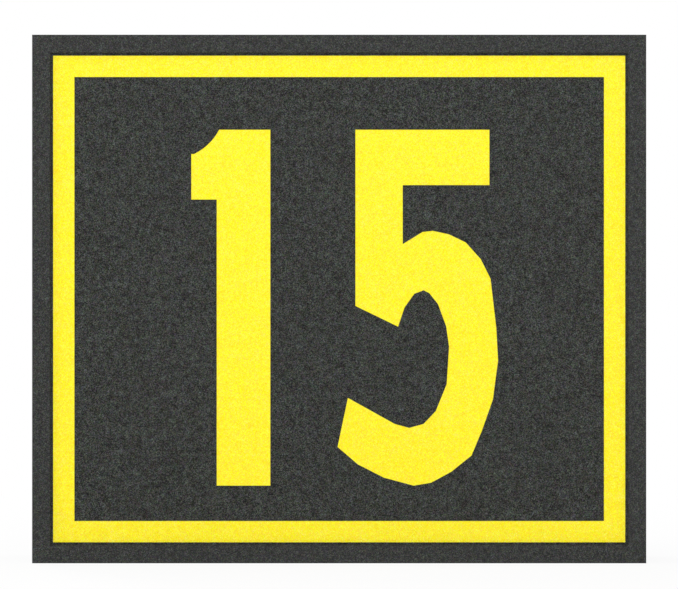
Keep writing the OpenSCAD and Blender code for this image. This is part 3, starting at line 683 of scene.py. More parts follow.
def islands(node: str) -> list[list[Vector]]:
    """List the corner points of each separate solid of a node.

    Args:
        node: The name of the node.

    Returns:
        One list of points for each solid.
    """
    bm = merged_copy(node)
    bm.verts.ensure_lookup_table()
    found: list[list[Vector]] = []
    seen: set[int] = set()
    for start in bm.verts:
        if start.index in seen:
            continue
        seen.add(start.index)
        queue, points = [start], []
        while queue:
            vertex = queue.pop()
            points.append(vertex.co.copy())
            for edge in vertex.link_edges:
                other = edge.other_vert(vertex)
                if other.index not in seen:
                    seen.add(other.index)
                    queue.append(other)
        found.append(points)
    bm.free()
    return found


def lathe(profile: Sequence[Point], steps: int) -> BMesh:
    """Turn a profile round the Z axis into a closed shape.

    Args:
        profile: Radius and height of each point, in metres, from one pole or rim to the other.
        steps: Number of steps round the axis.

    Returns:
        A new bmesh.
    """
    bm = bmesh.new()
    points = [bm.verts.new((r, 0.0, z)) for r, z in profile]
    edges = [bm.edges.new(pair) for pair in zip(points, points[1:])]
    bmesh.ops.spin(
        bm,
        geom=[*points, *edges],
        cent=(0, 0, 0),
        axis=(0, 0, 1),
        angle=FULL_TURN,
        steps=steps,
        use_merge=True,
        use_duplicate=False,
    )
    bmesh.ops.remove_doubles(bm, verts=bm.verts, dist=MERGE)
    bmesh.ops.recalc_face_normals(bm, faces=bm.faces)
    return bm


def hexagon(flats: float) -> Callable[[float], float]:
    """Give the radius of a hexagon by angle, from its width across the flats."""
    sixth = math.pi / 3
    return lambda angle: flats / 2 / math.cos(angle % sixth - sixth / 2)


def hexagon_rings(flats: float, low: float, high: float) -> list[Ring]:
    """List the rings of a hexagon whose corners are turned off at both ends.

    Args:
        flats: Width across the flats.
        low: Where it begins.
        high: Where it ends.

    Returns:
        The rings from one end to the other.
    """
    body = hexagon(flats)
    face_r = flats / 2 * NUT_FACE
    slope = min(NUT_SLOPE, (high - low) / 3 / (body(0.0) - face_r))

    def turned(angle: float) -> float:
        """Give how far the hexagon is turned off at an angle."""
        return (body(angle) - face_r) * slope

    return [
        (face_r, low),
        (body, lambda angle: low + turned(angle)),
        (body, lambda angle: high - turned(angle)),
        (face_r, high),
    ]


def place_round(verts: Iterable[BMVert], radius: Measure, height: Measure) -> None:
    """Move points round the Z axis to a radius and a height.

    Args:
        verts: The points, which keep their angle.
        radius: Their radius, a number or a function of the angle.
        height: Their height, a number or a function of the angle.
    """
    for vertex in verts:
        angle = math.atan2(vertex.co.y, vertex.co.x)
        r, z = (value(angle) if callable(value) else value for value in (radius, height))
        vertex.co = Vector((r * math.cos(angle), r * math.sin(angle), z))


def stacked(rings: Sequence[Ring], steps: int = 48) -> BMesh:
    """Join rings round the Z axis by walls, from the first to the last and back to the first.

    Args:
        rings: Radius and height of each ring, each a number or a function of the angle.
        steps: Number of points in a ring.

    Returns:
        A new bmesh of a bored shape.
    """
    bm = bmesh.new()
    verts = bmesh.ops.create_circle(bm, segments=steps, radius=1.0)["verts"]
    edges = list(bm.edges)
    place_round(verts, *rings[0])
    for ring in [*rings[1:], rings[0]]:
        verts = new_verts(bmesh.ops.extrude_edge_only(bm, edges=edges))
        edges = edges_between(bm, verts)
        place_round(verts, *ring)
    bmesh.ops.remove_doubles(bm, verts=bm.verts, dist=MERGE)
    bmesh.ops.recalc_face_normals(bm, faces=bm.faces)
    return bm


def stamp(target: BMesh, part: BMesh, matrix: Matrix = HERE, material: int = 0) -> None:
    """Add one bmesh to another.

    Args:
        target: The bmesh that grows.
        part: The bmesh that is added, which is used up.
        matrix: Where it goes.
        material: The material slot of its faces.
    """
    mesh = as_mesh("stamp", part)
    mesh.transform(matrix)
    first = len(target.faces)
    target.from_mesh(mesh)
    target.faces.ensure_lookup_table()
    for face in target.faces[first:]:
        face.material_index = material
    bpy.data.meshes.remove(mesh)


def wind_thread(bm: BMesh, r: float, pitch: float, low: float, high: float) -> None:
    """Wind a thread's ridge round the Z axis.

    Args:
        bm: The shape that carries the thread, whose core is a thread's depth under its radius.
        r: Outer radius of the thread.
        pitch: Rise of one turn.
        low: Where the thread begins.
        high: Where it ends.
    """
    ridge = bmesh.new()
    core = r - pitch * THREAD_DEPTH
    crest = low + pitch / 2
    section = ((core, crest - pitch * THREAD_FOOT), (r, crest), (core, crest + pitch * THREAD_FOOT))
    points = [ridge.verts.new((x, 0.0, z)) for x, z in section]
    edges = [ridge.edges.new((points[i], points[i - 1])) for i in range(3)]
    turns = (high - low - pitch) / pitch
    bmesh.ops.spin(
        ridge,
        geom=[*points, *edges],
        cent=(0, 0, 0),
        axis=(0, 0, 1),
        dvec=(0, 0, pitch / THREAD_STEPS),
        angle=FULL_TURN * turns,
        steps=round(turns * THREAD_STEPS),
        use_merge=False,
        use_duplicate=False,
    )
    bmesh.ops.holes_fill(ridge, edges=[e for e in ridge.edges if e.is_boundary])
    bmesh.ops.recalc_face_normals(ridge, faces=ridge.faces)
    stamp(bm, ridge)


def pierced_sheet(outlines: Iterable[Sequence[Point]], y: float) -> BMesh:
    """Fill the space between an outer outline and the outlines of the holes in it.

    Args:
        outlines: The outer outline, then the holes, as points along X and Z.
        y: Where the sheet lies.

    Returns:
        A new bmesh of flat faces.
    """
    bm = bmesh.new()
    for outline in outlines:
        points = [bm.verts.new((x, y, z)) for x, z in outline]
        for pair in zip(points, [*points[1:], points[0]]):
            bm.edges.new(pair)
    bmesh.ops.triangle_fill(bm, use_beauty=True, use_dissolve=False, edges=bm.edges)
    return bm


def thicken(bm: BMesh, side: Side, thickness: float) -> None:
    """Give a sheet its thickness, under its outer side.

    Args:
        bm: The sheet.
        side: The way that its outer side faces.
        thickness: Its thickness.
    """
    bmesh.ops.recalc_face_normals(bm, faces=bm.faces)
    widest = max(bm.faces, key=lambda face: face.calc_area())
    if widest.normal.y * side < 0:
        bmesh.ops.reverse_faces(bm, faces=bm.faces)
    bmesh.ops.solidify(bm, geom=bm.faces, thickness=thickness)


def arc(centre: Point, r: float, start: float, end: float, cuts: int) -> list[Point]:
    """List points along an arc, from one angle to another in degrees."""
    angles = [math.radians(start + (end - start) * i / cuts) for i in range(cuts + 1)]
    return [(centre[0] + r * math.cos(a), centre[1] + r * math.sin(a)) for a in angles]


def circle(x: float, z: float, r: float, cuts: int) -> list[Point]:
    """List the points of a circle in XZ."""
    return arc((x, z), r, 0, 360, cuts)[:-1]


def rounded_rim(box: Box, r: float, cuts: int = 4) -> list[Point]:
    """List the outline of a box in XZ with round corners.

    Args:
        box: Its lowest and highest corner.
        r: Radius of its corners.
        cuts: Steps round each corner.

    Returns:
        The outline's points along X and Z.
    """
    left, right = box[0].x + r, box[1].x - r
    low, high = box[0].z + r, box[1].z - r
    centres = ((right, high), (left, high), (left, low), (right, low))
    return [p for i, centre in enumerate(centres) for p in arc(centre, r, 90 * i, 90 * (i + 1), cuts)]


def round_edges(bm: BMesh, edges: Iterable[BMEdge], width: float, segments: int) -> None:
    """Round some edges of a bmesh by a width, in a number of steps."""
    bmesh.ops.bevel(
        bm, geom=list(edges), offset=width, segments=segments, profile=0.5, affect="EDGES", material=-1
    )


def rounded_box(centre: Vector, half: Vector, r: float, segments: int) -> BMesh:
    """Make a box with rounded edges.

    Args:
        centre: Its middle.
        half: Half its size.
        r: Radius of its edges.
        segments: Steps across an edge.

    Returns:
        A new bmesh.
    """
    bm = bmesh.new()
    bmesh.ops.create_cube(bm, size=2.0)
    bmesh.ops.scale(bm, vec=half, verts=bm.verts)
    bmesh.ops.translate(bm, vec=centre, verts=bm.verts)
    round_edges(bm, bm.edges, r, segments)
    return bm


def hex_nut(box: Box, along: Axis, bore: float, flats: float, lead_in: float = 0.5 * MM) -> BMesh:
    """Shape a hexagon nut with turned corners and a countersunk bore, in a node's box.

    Args:
        box: The nut's lowest and highest corner.
        along: The axis of its bore.
        bore: Radius of the bore.
        flats: Width across the flats.
        lead_in: Depth of the countersink, which a thin nut makes less.

    Returns:
        A new bmesh, in place.
    """
    height = (box[1] - box[0])[along]
    sink = min(lead_in, height / 4)
    mouth = [(bore, sink), (bore + sink, 0.0)]
    far_mouth = [(r, height - z) for r, z in reversed(mouth)]
    bm = stacked([*mouth, *hexagon_rings(flats, 0.0, height), *far_mouth])
    bmesh.ops.transform(bm, matrix=pointing(foot(box, along), along.unit()), verts=bm.verts)
    return bm


def carve(piece: Object, cutter: BMesh) -> None:
    """Cut a shape out of a piece, for good.

    Args:
        piece: The piece that is cut.
        cutter: The shape that is cut out, which is used up.
    """
    tool = add_object("cutter", as_mesh("cutter", cutter))
    cut = piece.modifiers.new("cut", "BOOLEAN")
    cut.operation = "DIFFERENCE"
    cut.solver = "EXACT"
    cut.use_self = True
    cut.object = tool
    bpy.context.view_layer.update()
    graph = bpy.context.evaluated_depsgraph_get()
    result = bpy.data.meshes.new_from_object(piece.evaluated_get(graph))
    piece.modifiers.remove(cut)
    piece.data = result
    bpy.data.objects.remove(tool)


@dataclass
class ButtonScrew:
    """A button-head screw with a hexagon socket, domed, with a rolled thread."""

    seat: Vector
    axis: Vector
    head_r: float
    head_h: float
    shank_r: float
    shank_l: float
    steps: int = 24
    crown_share: float = 0.5
    rim_share: float = 0.22
    rim_lift: float = 0.06
    under_share: float = 0.97
    point_share: float = 0.8
    dome_cuts: int = 6
    pitch_share: float = 0.34
    socket_share: float = 0.36
    socket_depth_share: float = 0.62
    socket_rings: tuple[Point, ...] = ((1.1, 0.0), (1.0, 0.12), (1.0, 1.0))
    first_inset: float = 1e-5

    @classmethod
    def from_solid(cls, points: Sequence[Vector]) -> "ButtonScrew":
        """Read a screw's place and sizes from the corner points of its plain solid.

        Args:
            points: The points. The head is the wider end.

        Returns:
            The screw, its seat under the head and its axis towards the tip.
        """
        low, high = extent(points)
        size = high - low
        along = max(Axis, key=lambda i: min(abs(size[i] - size[j]) for j in range(3) if j != i))
        centre, axis = (low + high) / 2, along.unit()
        offsets = [(p - centre, (p - centre) @ axis) for p in points]
        places = [((off - axis * h).length, h) for off, h in offsets]
        head_r = max(r for r, _ in places)
        if sum(h for r, h in places if r > head_r - NEAR) > 0:
            axis = -axis
            places = [(r, -h) for r, h in places]
        seat_at = max(h for r, h in places if r > head_r - NEAR)
        top, tip = (pick(h for _, h in places) for pick in (min, max))
        shank_r = max(r for r, h in places if h > tip - NEAR)
        return cls(centre + axis * seat_at, axis, head_r, seat_at - top, shank_r, tip - seat_at)

    def shape(self) -> BMesh:
        """Build the screw with its seat at the origin and its tip towards +Z.

        Returns:
            A new bmesh.
        """
        crown_r = self.head_r * self.crown_share
        dome_h = self.head_h * (1 - self.rim_share)
        turns = [math.pi / 2 * i / self.dome_cuts for i in range(self.dome_cuts + 1)]
        pitch = self.shank_r * self.pitch_share
        core = self.shank_r - pitch * THREAD_DEPTH
        profile = [
            *(
                (crown_r + (self.head_r - crown_r) * math.sin(a), dome_h * (1 - math.cos(a)) - self.head_h)
                for a in turns
            ),
            (self.head_r, -self.rim_lift * self.head_h),
            (self.head_r * self.under_share, 0.0),
            (self.shank_r, 0.0),
            (core, pitch),
            (core, self.shank_l - pitch),
            (core * self.point_share, self.shank_l),
            (0.0, self.shank_l),
        ]
        bm = lathe(profile, self.steps)
        bmesh.ops.holes_fill(bm, edges=[e for e in bm.edges if e.is_boundary])
        self._sink_socket(bm, min(bm.faces, key=lambda face: face.calc_center_median().z))
        bmesh.ops.recalc_face_normals(bm, faces=bm.faces)
        wind_thread(bm, self.shank_r, pitch, pitch, self.shank_l - pitch / 2)
        return bm

    def _sink_socket(self, bm: BMesh, crown: BMFace) -> None:
        """Sink a hexagon socket into the crown of the head.

        Args:
            bm: The screw's shape.
            crown: The flat face in the middle of the head.
        """
        flats = 2 * self.head_r * self.socket_share * math.cos(math.pi / 6)
        for share, sink in self.socket_rings:
            bmesh.ops.inset_region(bm, faces=[crown], thickness=self.first_inset, use_even_offset=True)
            depth = self.head_h * (self.socket_depth_share * sink - 1)
            place_round(crown.verts, hexagon(flats * share), depth)


@dataclass
class Bench:
    """Turns shapes into finished pieces and puts them on the bodies that carry them."""

    effects: Effects = field(default_factory=Effects)
    materials: dict[Look, Material] = field(default_factory=dict)
    rounded_above: float = 60.0

    def material(self, look: Look) -> Material:
        """Give a finish's material, built when it is first asked for.

        Args:
            look: The finish.

        Returns:
            Its material.
        """
        if look not in self.materials:
            self.materials[look] = look.value.build(self.effects)
        return self.materials[look]

    def piece(
        self,
        node: str,
        bm: BMesh,
        *looks: Look,
        at: Matrix = HERE,
        body: Body = Body.CABINET,
        crease: float = 32.0,
    ) -> Object:
        """Make the piece that stands for a node.

        Args:
            node: The node that it replaces.
            bm: Its shape, which is used up.
            looks: Its finishes, in the order of its material slots.
            at: Where its shape goes.
            body: The body that carries it.
            crease: Edges with a larger angle than this, in degrees, stay sharp.

        Returns:
            The piece.
        """
        name = node + "_finished"
        bmesh.ops.transform(bm, matrix=at, verts=bm.verts)
        mesh = as_mesh(name, bm)
        for polygon in mesh.polygons:
            polygon.use_smooth = True
        mesh.set_sharp_from_angle(angle=math.radians(crease))
        for look in looks:
            mesh.materials.append(self.material(look))
        made = add_object(name, mesh)
        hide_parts(node)
        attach(made, body.value)
        log.info("%s: %d faces in %s", name, len(mesh.polygons), ", ".join(look.name for look in looks))
        return made

    def stood(self, node: str, bm: BMesh, look: Look) -> Object:
        """Stand an upright shape on its node's foot and make it the node's piece."""
        return self.piece(node, bm, look, at=Matrix.Translation(foot(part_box(node), Axis.Z)))

    def softened(
        self,
        node: str,
        look: Look,
        width: float,
        segments: int = 2,
        is_seam: Callable[[Vector], bool] | None = None,
        seam_share: float = 1.0,
        split: bool = False,
    ) -> Object:
        """Make a copy of a node whose sharp edges are rounded, as a worked edge is.

        Args:
            node: The node that is copied and replaced.
            look: Its finish.
            width: Width of the rounding.
            segments: Steps across the rounding.
            is_seam: Says whether a point lies on a seam, whose edges are rounded less.
            seam_share: Share of the width that a seam's edges get.
            split: Whether flat faces stay triangles, which suits a face with an outline cut in it.

        Returns:
            The piece.
        """
        bm = worked_copy(node)
        if split:
            bmesh.ops.triangulate(bm, faces=bm.faces)
        weight = bm.edges.layers.float.new("bevel_weight_edge")
        for edge in sharp_edges(bm):
            seam = is_seam is not None and all(is_seam(v.co) for v in edge.verts)
            edge[weight] = seam_share if seam else 1.0
        made = self.piece(node, bm, look)
        self.round_off(made, width, segments)
        return made

    def round_off(
        self, made: Object, width: float, segments: int = 2, chosen: Chosen = Chosen.BY_WEIGHT
    ) -> None:
        """Round the edges of a piece and keep its flat faces flat.

        Args:
            made: The piece.
            width: Width of the rounding.
            segments: Steps across it.
            chosen: How its edges are chosen.
        """
        bevel = made.modifiers.new("worked_edges", "BEVEL")
        bevel.limit_method = chosen.value
        bevel.angle_limit = math.radians(self.rounded_above)
        bevel.width = width
        bevel.segments = segments
        made.modifiers.new("flat_faces", "WEIGHTED_NORMAL").keep_sharp = True

    def screws(self, node: str, look: Look) -> list[Vector]:
        """Replace a node's plain screws by domed ones in the same places.

        Args:
            node: The node that holds the screws.
            look: Their finish.

        Returns:
            Where the screws are seated.
        """
        group = bmesh.new()
        screws = [ButtonScrew.from_solid(points) for points in islands(node)]
        for screw in screws:
            stamp(group, screw.shape(), pointing(screw.seat, screw.axis))
        self.piece(node, group, look)
        return [screw.seat for screw in screws]


@dataclass
class FrameCase:
    """The four mitred extrusions, their corner brackets and the screws that hold them."""

    bench: Bench
    edge: float = 0.45 * MM
    mitre_share: float = 0.2
    mitre_within: float = 0.01 * MM
    bracket_edge: float = 0.4 * MM
    sides: tuple[str, ...] = ("top", "bottom", "left", "right")
    brackets: tuple[str, ...] = ("top_left", "top_right", "bottom_left", "bottom_right")

    def build(self) -> None:
        """Build and dress every piece of the case."""
        low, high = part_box("frame_bottom")[0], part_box("frame_top")[1]

        def on_mitre(point: Vector) -> bool:
            """Say whether a point lies on a mitre of the frame.

            Args:
                point: The point.

            Returns:
                Whether it is as far from the frame's side as from its end.
            """
            from_side = min(point.x - low.x, high.x - point.x)
            from_end = min(point.z - low.z, high.z - point.z)
            return abs(from_side - from_end) < self.mitre_within

        for side in self.sides:
            self.bench.softened(f"frame_{side}", Look.COAT, self.edge, 3, on_mitre, self.mitre_share)
        for corner in self.brackets:
            self.bench.softened(f"corner_bracket_{corner}", Look.ALUMINIUM, self.bracket_edge)
        self.bench.screws("frame_screws", Look.STAINLESS)


@dataclass
class Face:
    """The yellow panel, the black film on it and the rubber channel round it."""

    bench: Bench
    panel_edge: float = 0.3 * MM
    film_edge: float = 0.06 * MM
    seal_edge: float = 0.3 * MM

    def build(self) -> None:
        """Build and dress the face."""
        self.bench.softened("face_panel", Look.PANEL, self.panel_edge)
        self.bench.softened("face_mask", Look.FILM, self.film_edge, split=True)
        self.bench.softened("face_seal", Look.RUBBER, self.seal_edge)


@dataclass
class BackCover:
    """The pressed back cover, with beads, its gasket and its screws."""

    bench: Bench
    sheet_t: float = 2.0 * MM
    bead_count: int = 3
    bead_half_w: float = 8.0 * MM
    bead_depth: float = 3.0 * MM
    bead_end_gap: float = 70.0 * MM
    bead_wall: float = 5.0 * MM
    bead_cuts: int = 8
    end_cuts: int = 12
    screw_hole_r: float = 2.3 * MM
    vent_hole_r: float = 6.3 * MM
    hole_cuts: int = 24
    corner_r: float = 1.5 * MM
    edge: float = 0.25 * MM
    crease: float = 50.0
    gasket_edge: float = 0.2 * MM

    def build(self) -> None:
        """Build the cover, then everything that is fixed to it."""
        cover = self.bench.piece("back_cover", self._cover(), Look.COAT, crease=self.crease)
        self.bench.round_off(cover, self.edge, chosen=Chosen.BY_ANGLE)
        self.bench.softened("cover_gasket", Look.RUBBER, self.gasket_edge)
        self.bench.screws("cover_screws", Look.STAINLESS)
        Breather(self.bench, self.vent_hole_r).build()

    def _bead(self, z: float, r: float) -> list[Point]:
        """List the points of a bead's outline, round at both ends.

        Args:
            z: Height of the bead's middle.
            r: Radius of its ends.

        Returns:
            The outline's points along X and Z.
        """
        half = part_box("frame_top")[1].x - self.bead_end_gap
        return [*arc((half, z), r, -90, 90, self.end_cuts), *arc((-half, z), r, 90, 270, self.end_cuts)]

    def _cover(self) -> BMesh:
        """Shape the cover: a pierced sheet with beads pressed into it, given its thickness.

        Returns:
            A new bmesh.
        """
        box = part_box("back_cover")
        sign_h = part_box("frame_top")[1].z
        holes = [(ButtonScrew.from_solid(p).seat, self.screw_hole_r) for p in islands("cover_screws")]
        holes.append((foot(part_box("breather_vent"), Axis.Y), self.vent_hole_r))
        middles = [sign_h * (i + 1) / (self.bead_count + 1) for i in range(self.bead_count)]
        mouths = [self._bead(z, self.bead_half_w) for z in middles]
        rounds = [circle(centre.x, centre.z, r, self.hole_cuts) for centre, r in holes]
        bm = pierced_sheet([rounded_rim(box, self.corner_r), *rounds, *mouths], box[1].y)
        for mouth, z in zip(mouths, middles):
            self._press(bm, mouth, z, box[1].y)
        thicken(bm, Side.BACK, self.sheet_t)
        return bm

    def _press(self, bm: BMesh, mouth: list[Point], z: float, face: float) -> None:
        """Press one bead in, ring by ring from its mouth to its flat bottom.

        Args:
            bm: The pierced sheet.
            mouth: The outline where the bead begins.
            z: Height of the bead's middle.
            face: Where the sheet's outer face lies.
        """
        corners = {tuple(round(c / MERGE) for c in point): number for number, point in enumerate(mouth)}
        keys = {v: (round(v.co.x / MERGE), round(v.co.z / MERGE)) for v in bm.verts}
        numbers = {v: corners[key] for v, key in keys.items() if key in corners}
        edges = edges_between(bm, numbers)
        for step in range(1, self.bead_cuts + 1):
            share = step / self.bead_cuts
            sunk = self.bead_depth * (1 - math.cos(math.pi * share)) / 2
            ring = self._bead(z, self.bead_half_w - self.bead_wall * share)
            fresh = new_verts(bmesh.ops.extrude_edge_only(bm, edges=edges))
            edges = edges_between(bm, fresh)
            before = {v: [e.other_vert(v) for e in v.link_edges] for v in fresh}
            numbers = {v: next(numbers[o] for o in others if o in numbers) for v, others in before.items()}
            for vertex, number in numbers.items():
                vertex.co = Vector((ring[number][0], face - sunk, ring[number][1]))
        bmesh.ops.contextual_create(bm, geom=edges)


@dataclass
class Breather:
    """The breather of the back cover: a domed cap with grip notches, a threaded stem and a thin nut."""

    bench: Bench
    hole_r: float
    play: float = 0.3 * MM
    pitch: float = 1.2 * MM
    lead_in: float = 0.5 * MM
    bore_r: float = 2.2 * MM
    bore_deep: float = 1.5 * MM
    notches: int = 12
    notch_deep: float = 0.7 * MM
    notch_power: int = 3
    flank_share: float = 0.62
    dome: tuple[Point, ...] = ((0.9, 0.9), (0.72, 1.0), (0.62, 1.0), (0.56, 0.72), (0.3, 0.62))
    vent_r: tuple[float, float] = (1.2 * MM, 1.0 * MM)
    vent_share: float = 0.4
    thread_gaps: tuple[float, float] = (0.4 * MM, 0.3 * MM)
    steps: int = 96
    nut_flats: float = 19.0 * MM

    def build(self) -> None:
        """Turn the vent and shape its nut."""
        low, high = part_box("breather_vent")
        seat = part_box("back_cover")[1].y
        cap_r, cap_h, length = (high.x - low.x) / 2, high.y - seat, seat - low.y
        stem_r = self.hole_r - self.play
        core = stem_r - self.pitch * THREAD_DEPTH

        def notched(angle: float) -> float:
            """Give the cap's radius, less at the grip notches."""
            return cap_r - self.notch_deep * max(0.0, math.cos(self.notches * angle)) ** self.notch_power

        rings = [
            (self.bore_r, self.bore_deep - length),
            (self.bore_r, -length),
            (core - self.lead_in, -length),
            (core, self.lead_in - length),
            (core, 0.0),
            (notched, 0.0),
            (notched, cap_h * self.flank_share),
            *((cap_r * r, cap_h * h) for r, h in self.dome),
            (self.vent_r[0], cap_h * self.flank_share),
            (self.vent_r[1], cap_h * self.vent_share),
        ]
        bm = stacked(rings, self.steps)
        wind_thread(bm, stem_r, self.pitch, self.thread_gaps[0] - length, -self.thread_gaps[1])
        middle = foot((low, high), Axis.Y)
        middle.y = seat
        self.bench.piece("breather_vent", bm, Look.PLASTIC, at=pointing(middle, Axis.Y.unit()))
        nut = hex_nut(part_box("breather_nut"), Axis.Y, stem_r, self.nut_flats)
        self.bench.piece("breather_nut", nut, Look.PLASTIC)


@dataclass
class LegMounts:
    """The two leg plates, their screws, and the ground stud with its nuts."""

    bench: Bench
    plate_edge: float = 0.4 * MM
    stud_pitch: float = 1.0 * MM
    stud_point: float = 0.8 * MM
    stud_point_share: float = 0.75
    thread_gap: float = 0.4 * MM
    steps: int = 32
    nut_flats: float = 10.0 * MM

    def build(self) -> None:
        """Build and dress the mounts."""
        for side in ("left", "right"):
            self.bench.softened(f"leg_plate_{side}", Look.STAINLESS, self.plate_edge)
        self.bench.screws("leg_plate_screws", Look.STAINLESS)
        self._ground()

    def _ground(self) -> None:
        """Turn the ground stud and shape its nuts."""
        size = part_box("ground_stud")[1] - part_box("ground_stud")[0]
        r = size.x / 2
        core = r - self.stud_pitch * THREAD_DEPTH
        point = (core * self.stud_point_share, size.z)
        profile = [(0.0, 0.0), (core, 0.0), (core, size.z - self.stud_point), point, (0.0, size.z)]
        stud = lathe(profile, self.steps)
        wind_thread(stud, r, self.stud_pitch, 0.0, size.z - self.thread_gap)
        self.bench.stood("ground_stud", stud, Look.BRASS)
        nuts = bmesh.new()
        for points in islands("ground_nuts"):
            stamp(nuts, hex_nut(extent(points), Axis.Z, r, self.nut_flats))
        self.bench.piece("ground_nuts", nuts, Look.BRASS)


@dataclass
class CableEntry:
    """The cable gland in the right-hand leg and the plug in the left-hand one."""

    bench: Bench
    thread_pitch: float = 1.5 * MM
    bore_r: float = 7.5 * MM
    seat_r: float = 10.0 * MM
    barrel_wall: float = 2.5 * MM
    flats: float = 33.0 * MM
    hex_h: float = 6.0 * MM
    lead_in: float = 0.6 * MM
    thread_gap: float = 0.3 * MM
    cap_edge: float = 0.6 * MM
    insert_bore_r: float = 6.5 * MM
    insert_edge: float = 0.6 * MM
    insert_mouth: tuple[Point, ...] = ((0.0, 0.8 * MM), (0.3 * MM, 0.2 * MM), (0.8 * MM, 0.0))
    insert_crown: tuple[Point, ...] = ((0.0, 1.4 * MM), (0.5 * MM, 0.4 * MM), (1.4 * MM, 0.0))
    plug_dome: tuple[Point, ...] = ((0.72, 0.0), (0.9, 0.12), (0.98, 0.4), (1.0, 0.7), (1.0, 1.0))
    plug_point: float = 0.8 * MM
    plug_thread_gap: float = 0.4 * MM
    frame_t: float = 4.0 * MM
    coin_slot_w: float = 2.4 * MM
    coin_slot_share: float = 0.62
    coin_slot_edge: float = 0.3 * MM
    steps: int = 72

    def build(self) -> None:
        """Build and dress the gland and the plug."""
        thread_r = self.seat_r + self.barrel_wall
        self._body(thread_r)
        self._insert()
        self.bench.softened("gland_cap", Look.PLASTIC, self.cap_edge, 3, split=True)
        for name in ("gland_locknut", "blanking_nut"):
            nut = hex_nut(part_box(name), Axis.Z, thread_r, self.flats)
            self.bench.piece(name, nut, Look.PLASTIC)
        self._plug(thread_r)

    def _body(self, thread_r: float) -> None:
        """Shape the gland's body: a threaded barrel with a hexagon and a stepped bore.

        Args:
            thread_r: Radius of the thread.
        """
        low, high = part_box("gland_body")
        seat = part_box("leg_plate_right")[1].z - low.z
        neck, top = seat + self.hex_h, high.z - low.z
        core = thread_r - self.thread_pitch * THREAD_DEPTH
        rings = [
            (self.bore_r, self.lead_in),
            (self.bore_r + self.lead_in, 0.0),
            (core - self.lead_in, 0.0),
            (core, self.lead_in),
            (core, seat),
            *hexagon_rings(self.flats, seat, neck),
            (core, neck),
            (core, top - self.lead_in),
            (core - self.lead_in, top),
            (self.seat_r, top),
            (self.seat_r, neck),
            (self.bore_r, neck),
        ]
        bm = stacked(rings, self.steps)
        for start, end in ((self.thread_gap, seat), (neck, top - self.thread_gap)):
            wind_thread(bm, thread_r, self.thread_pitch, start, end)
        self.bench.stood("gland_body", bm, Look.PLASTIC)

    def _insert(self) -> None:
        """Shape the rubber insert, with a crowned top and a rounded mouth below."""
        low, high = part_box("gland_insert")
        r, top = (high.x - low.x) / 2, high.z - low.z
        bore, edge = self.insert_bore_r, self.insert_edge
        rings = [
            *((bore + out, z) for out, z in self.insert_mouth),
            (r - edge, 0.0),
            (r, edge),
            *((r - inward, top - down) for inward, down in self.insert_crown),
            (bore + edge, top),
            (bore, top - edge),
        ]
        self.bench.stood("gland_insert", stacked(rings, self.steps), Look.RUBBER)

    def _plug(self, thread_r: float) -> None:
        """Shape the blanking plug: a shallow domed head with a coin slot, and a threaded barrel.

        Args:
            thread_r: Radius of the thread.
        """
        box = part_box("blanking_plug")
        head_r, top = (box[1] - box[0]).x / 2, (box[1] - box[0]).z
        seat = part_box("frame_bottom")[0].z + self.frame_t - box[0].z
        core = thread_r - self.thread_pitch * THREAD_DEPTH
        profile = [
            (0.0, 0.0),
            *((head_r * r, seat * h) for r, h in self.plug_dome),
            (core, seat),
            (core, top - self.plug_point),
            (core - self.plug_point, top),
            (0.0, top),
        ]
        bm = lathe(profile, self.steps)
        wind_thread(bm, thread_r, self.thread_pitch, seat, top - self.plug_thread_gap)
        made = self.bench.stood("blanking_plug", bm, Look.PLASTIC)
        slot = Vector((head_r * self.coin_slot_share, self.coin_slot_w / 2, seat / 2))
        carve(made, rounded_box(foot(box, Axis.Z), slot, self.coin_slot_edge, 3))


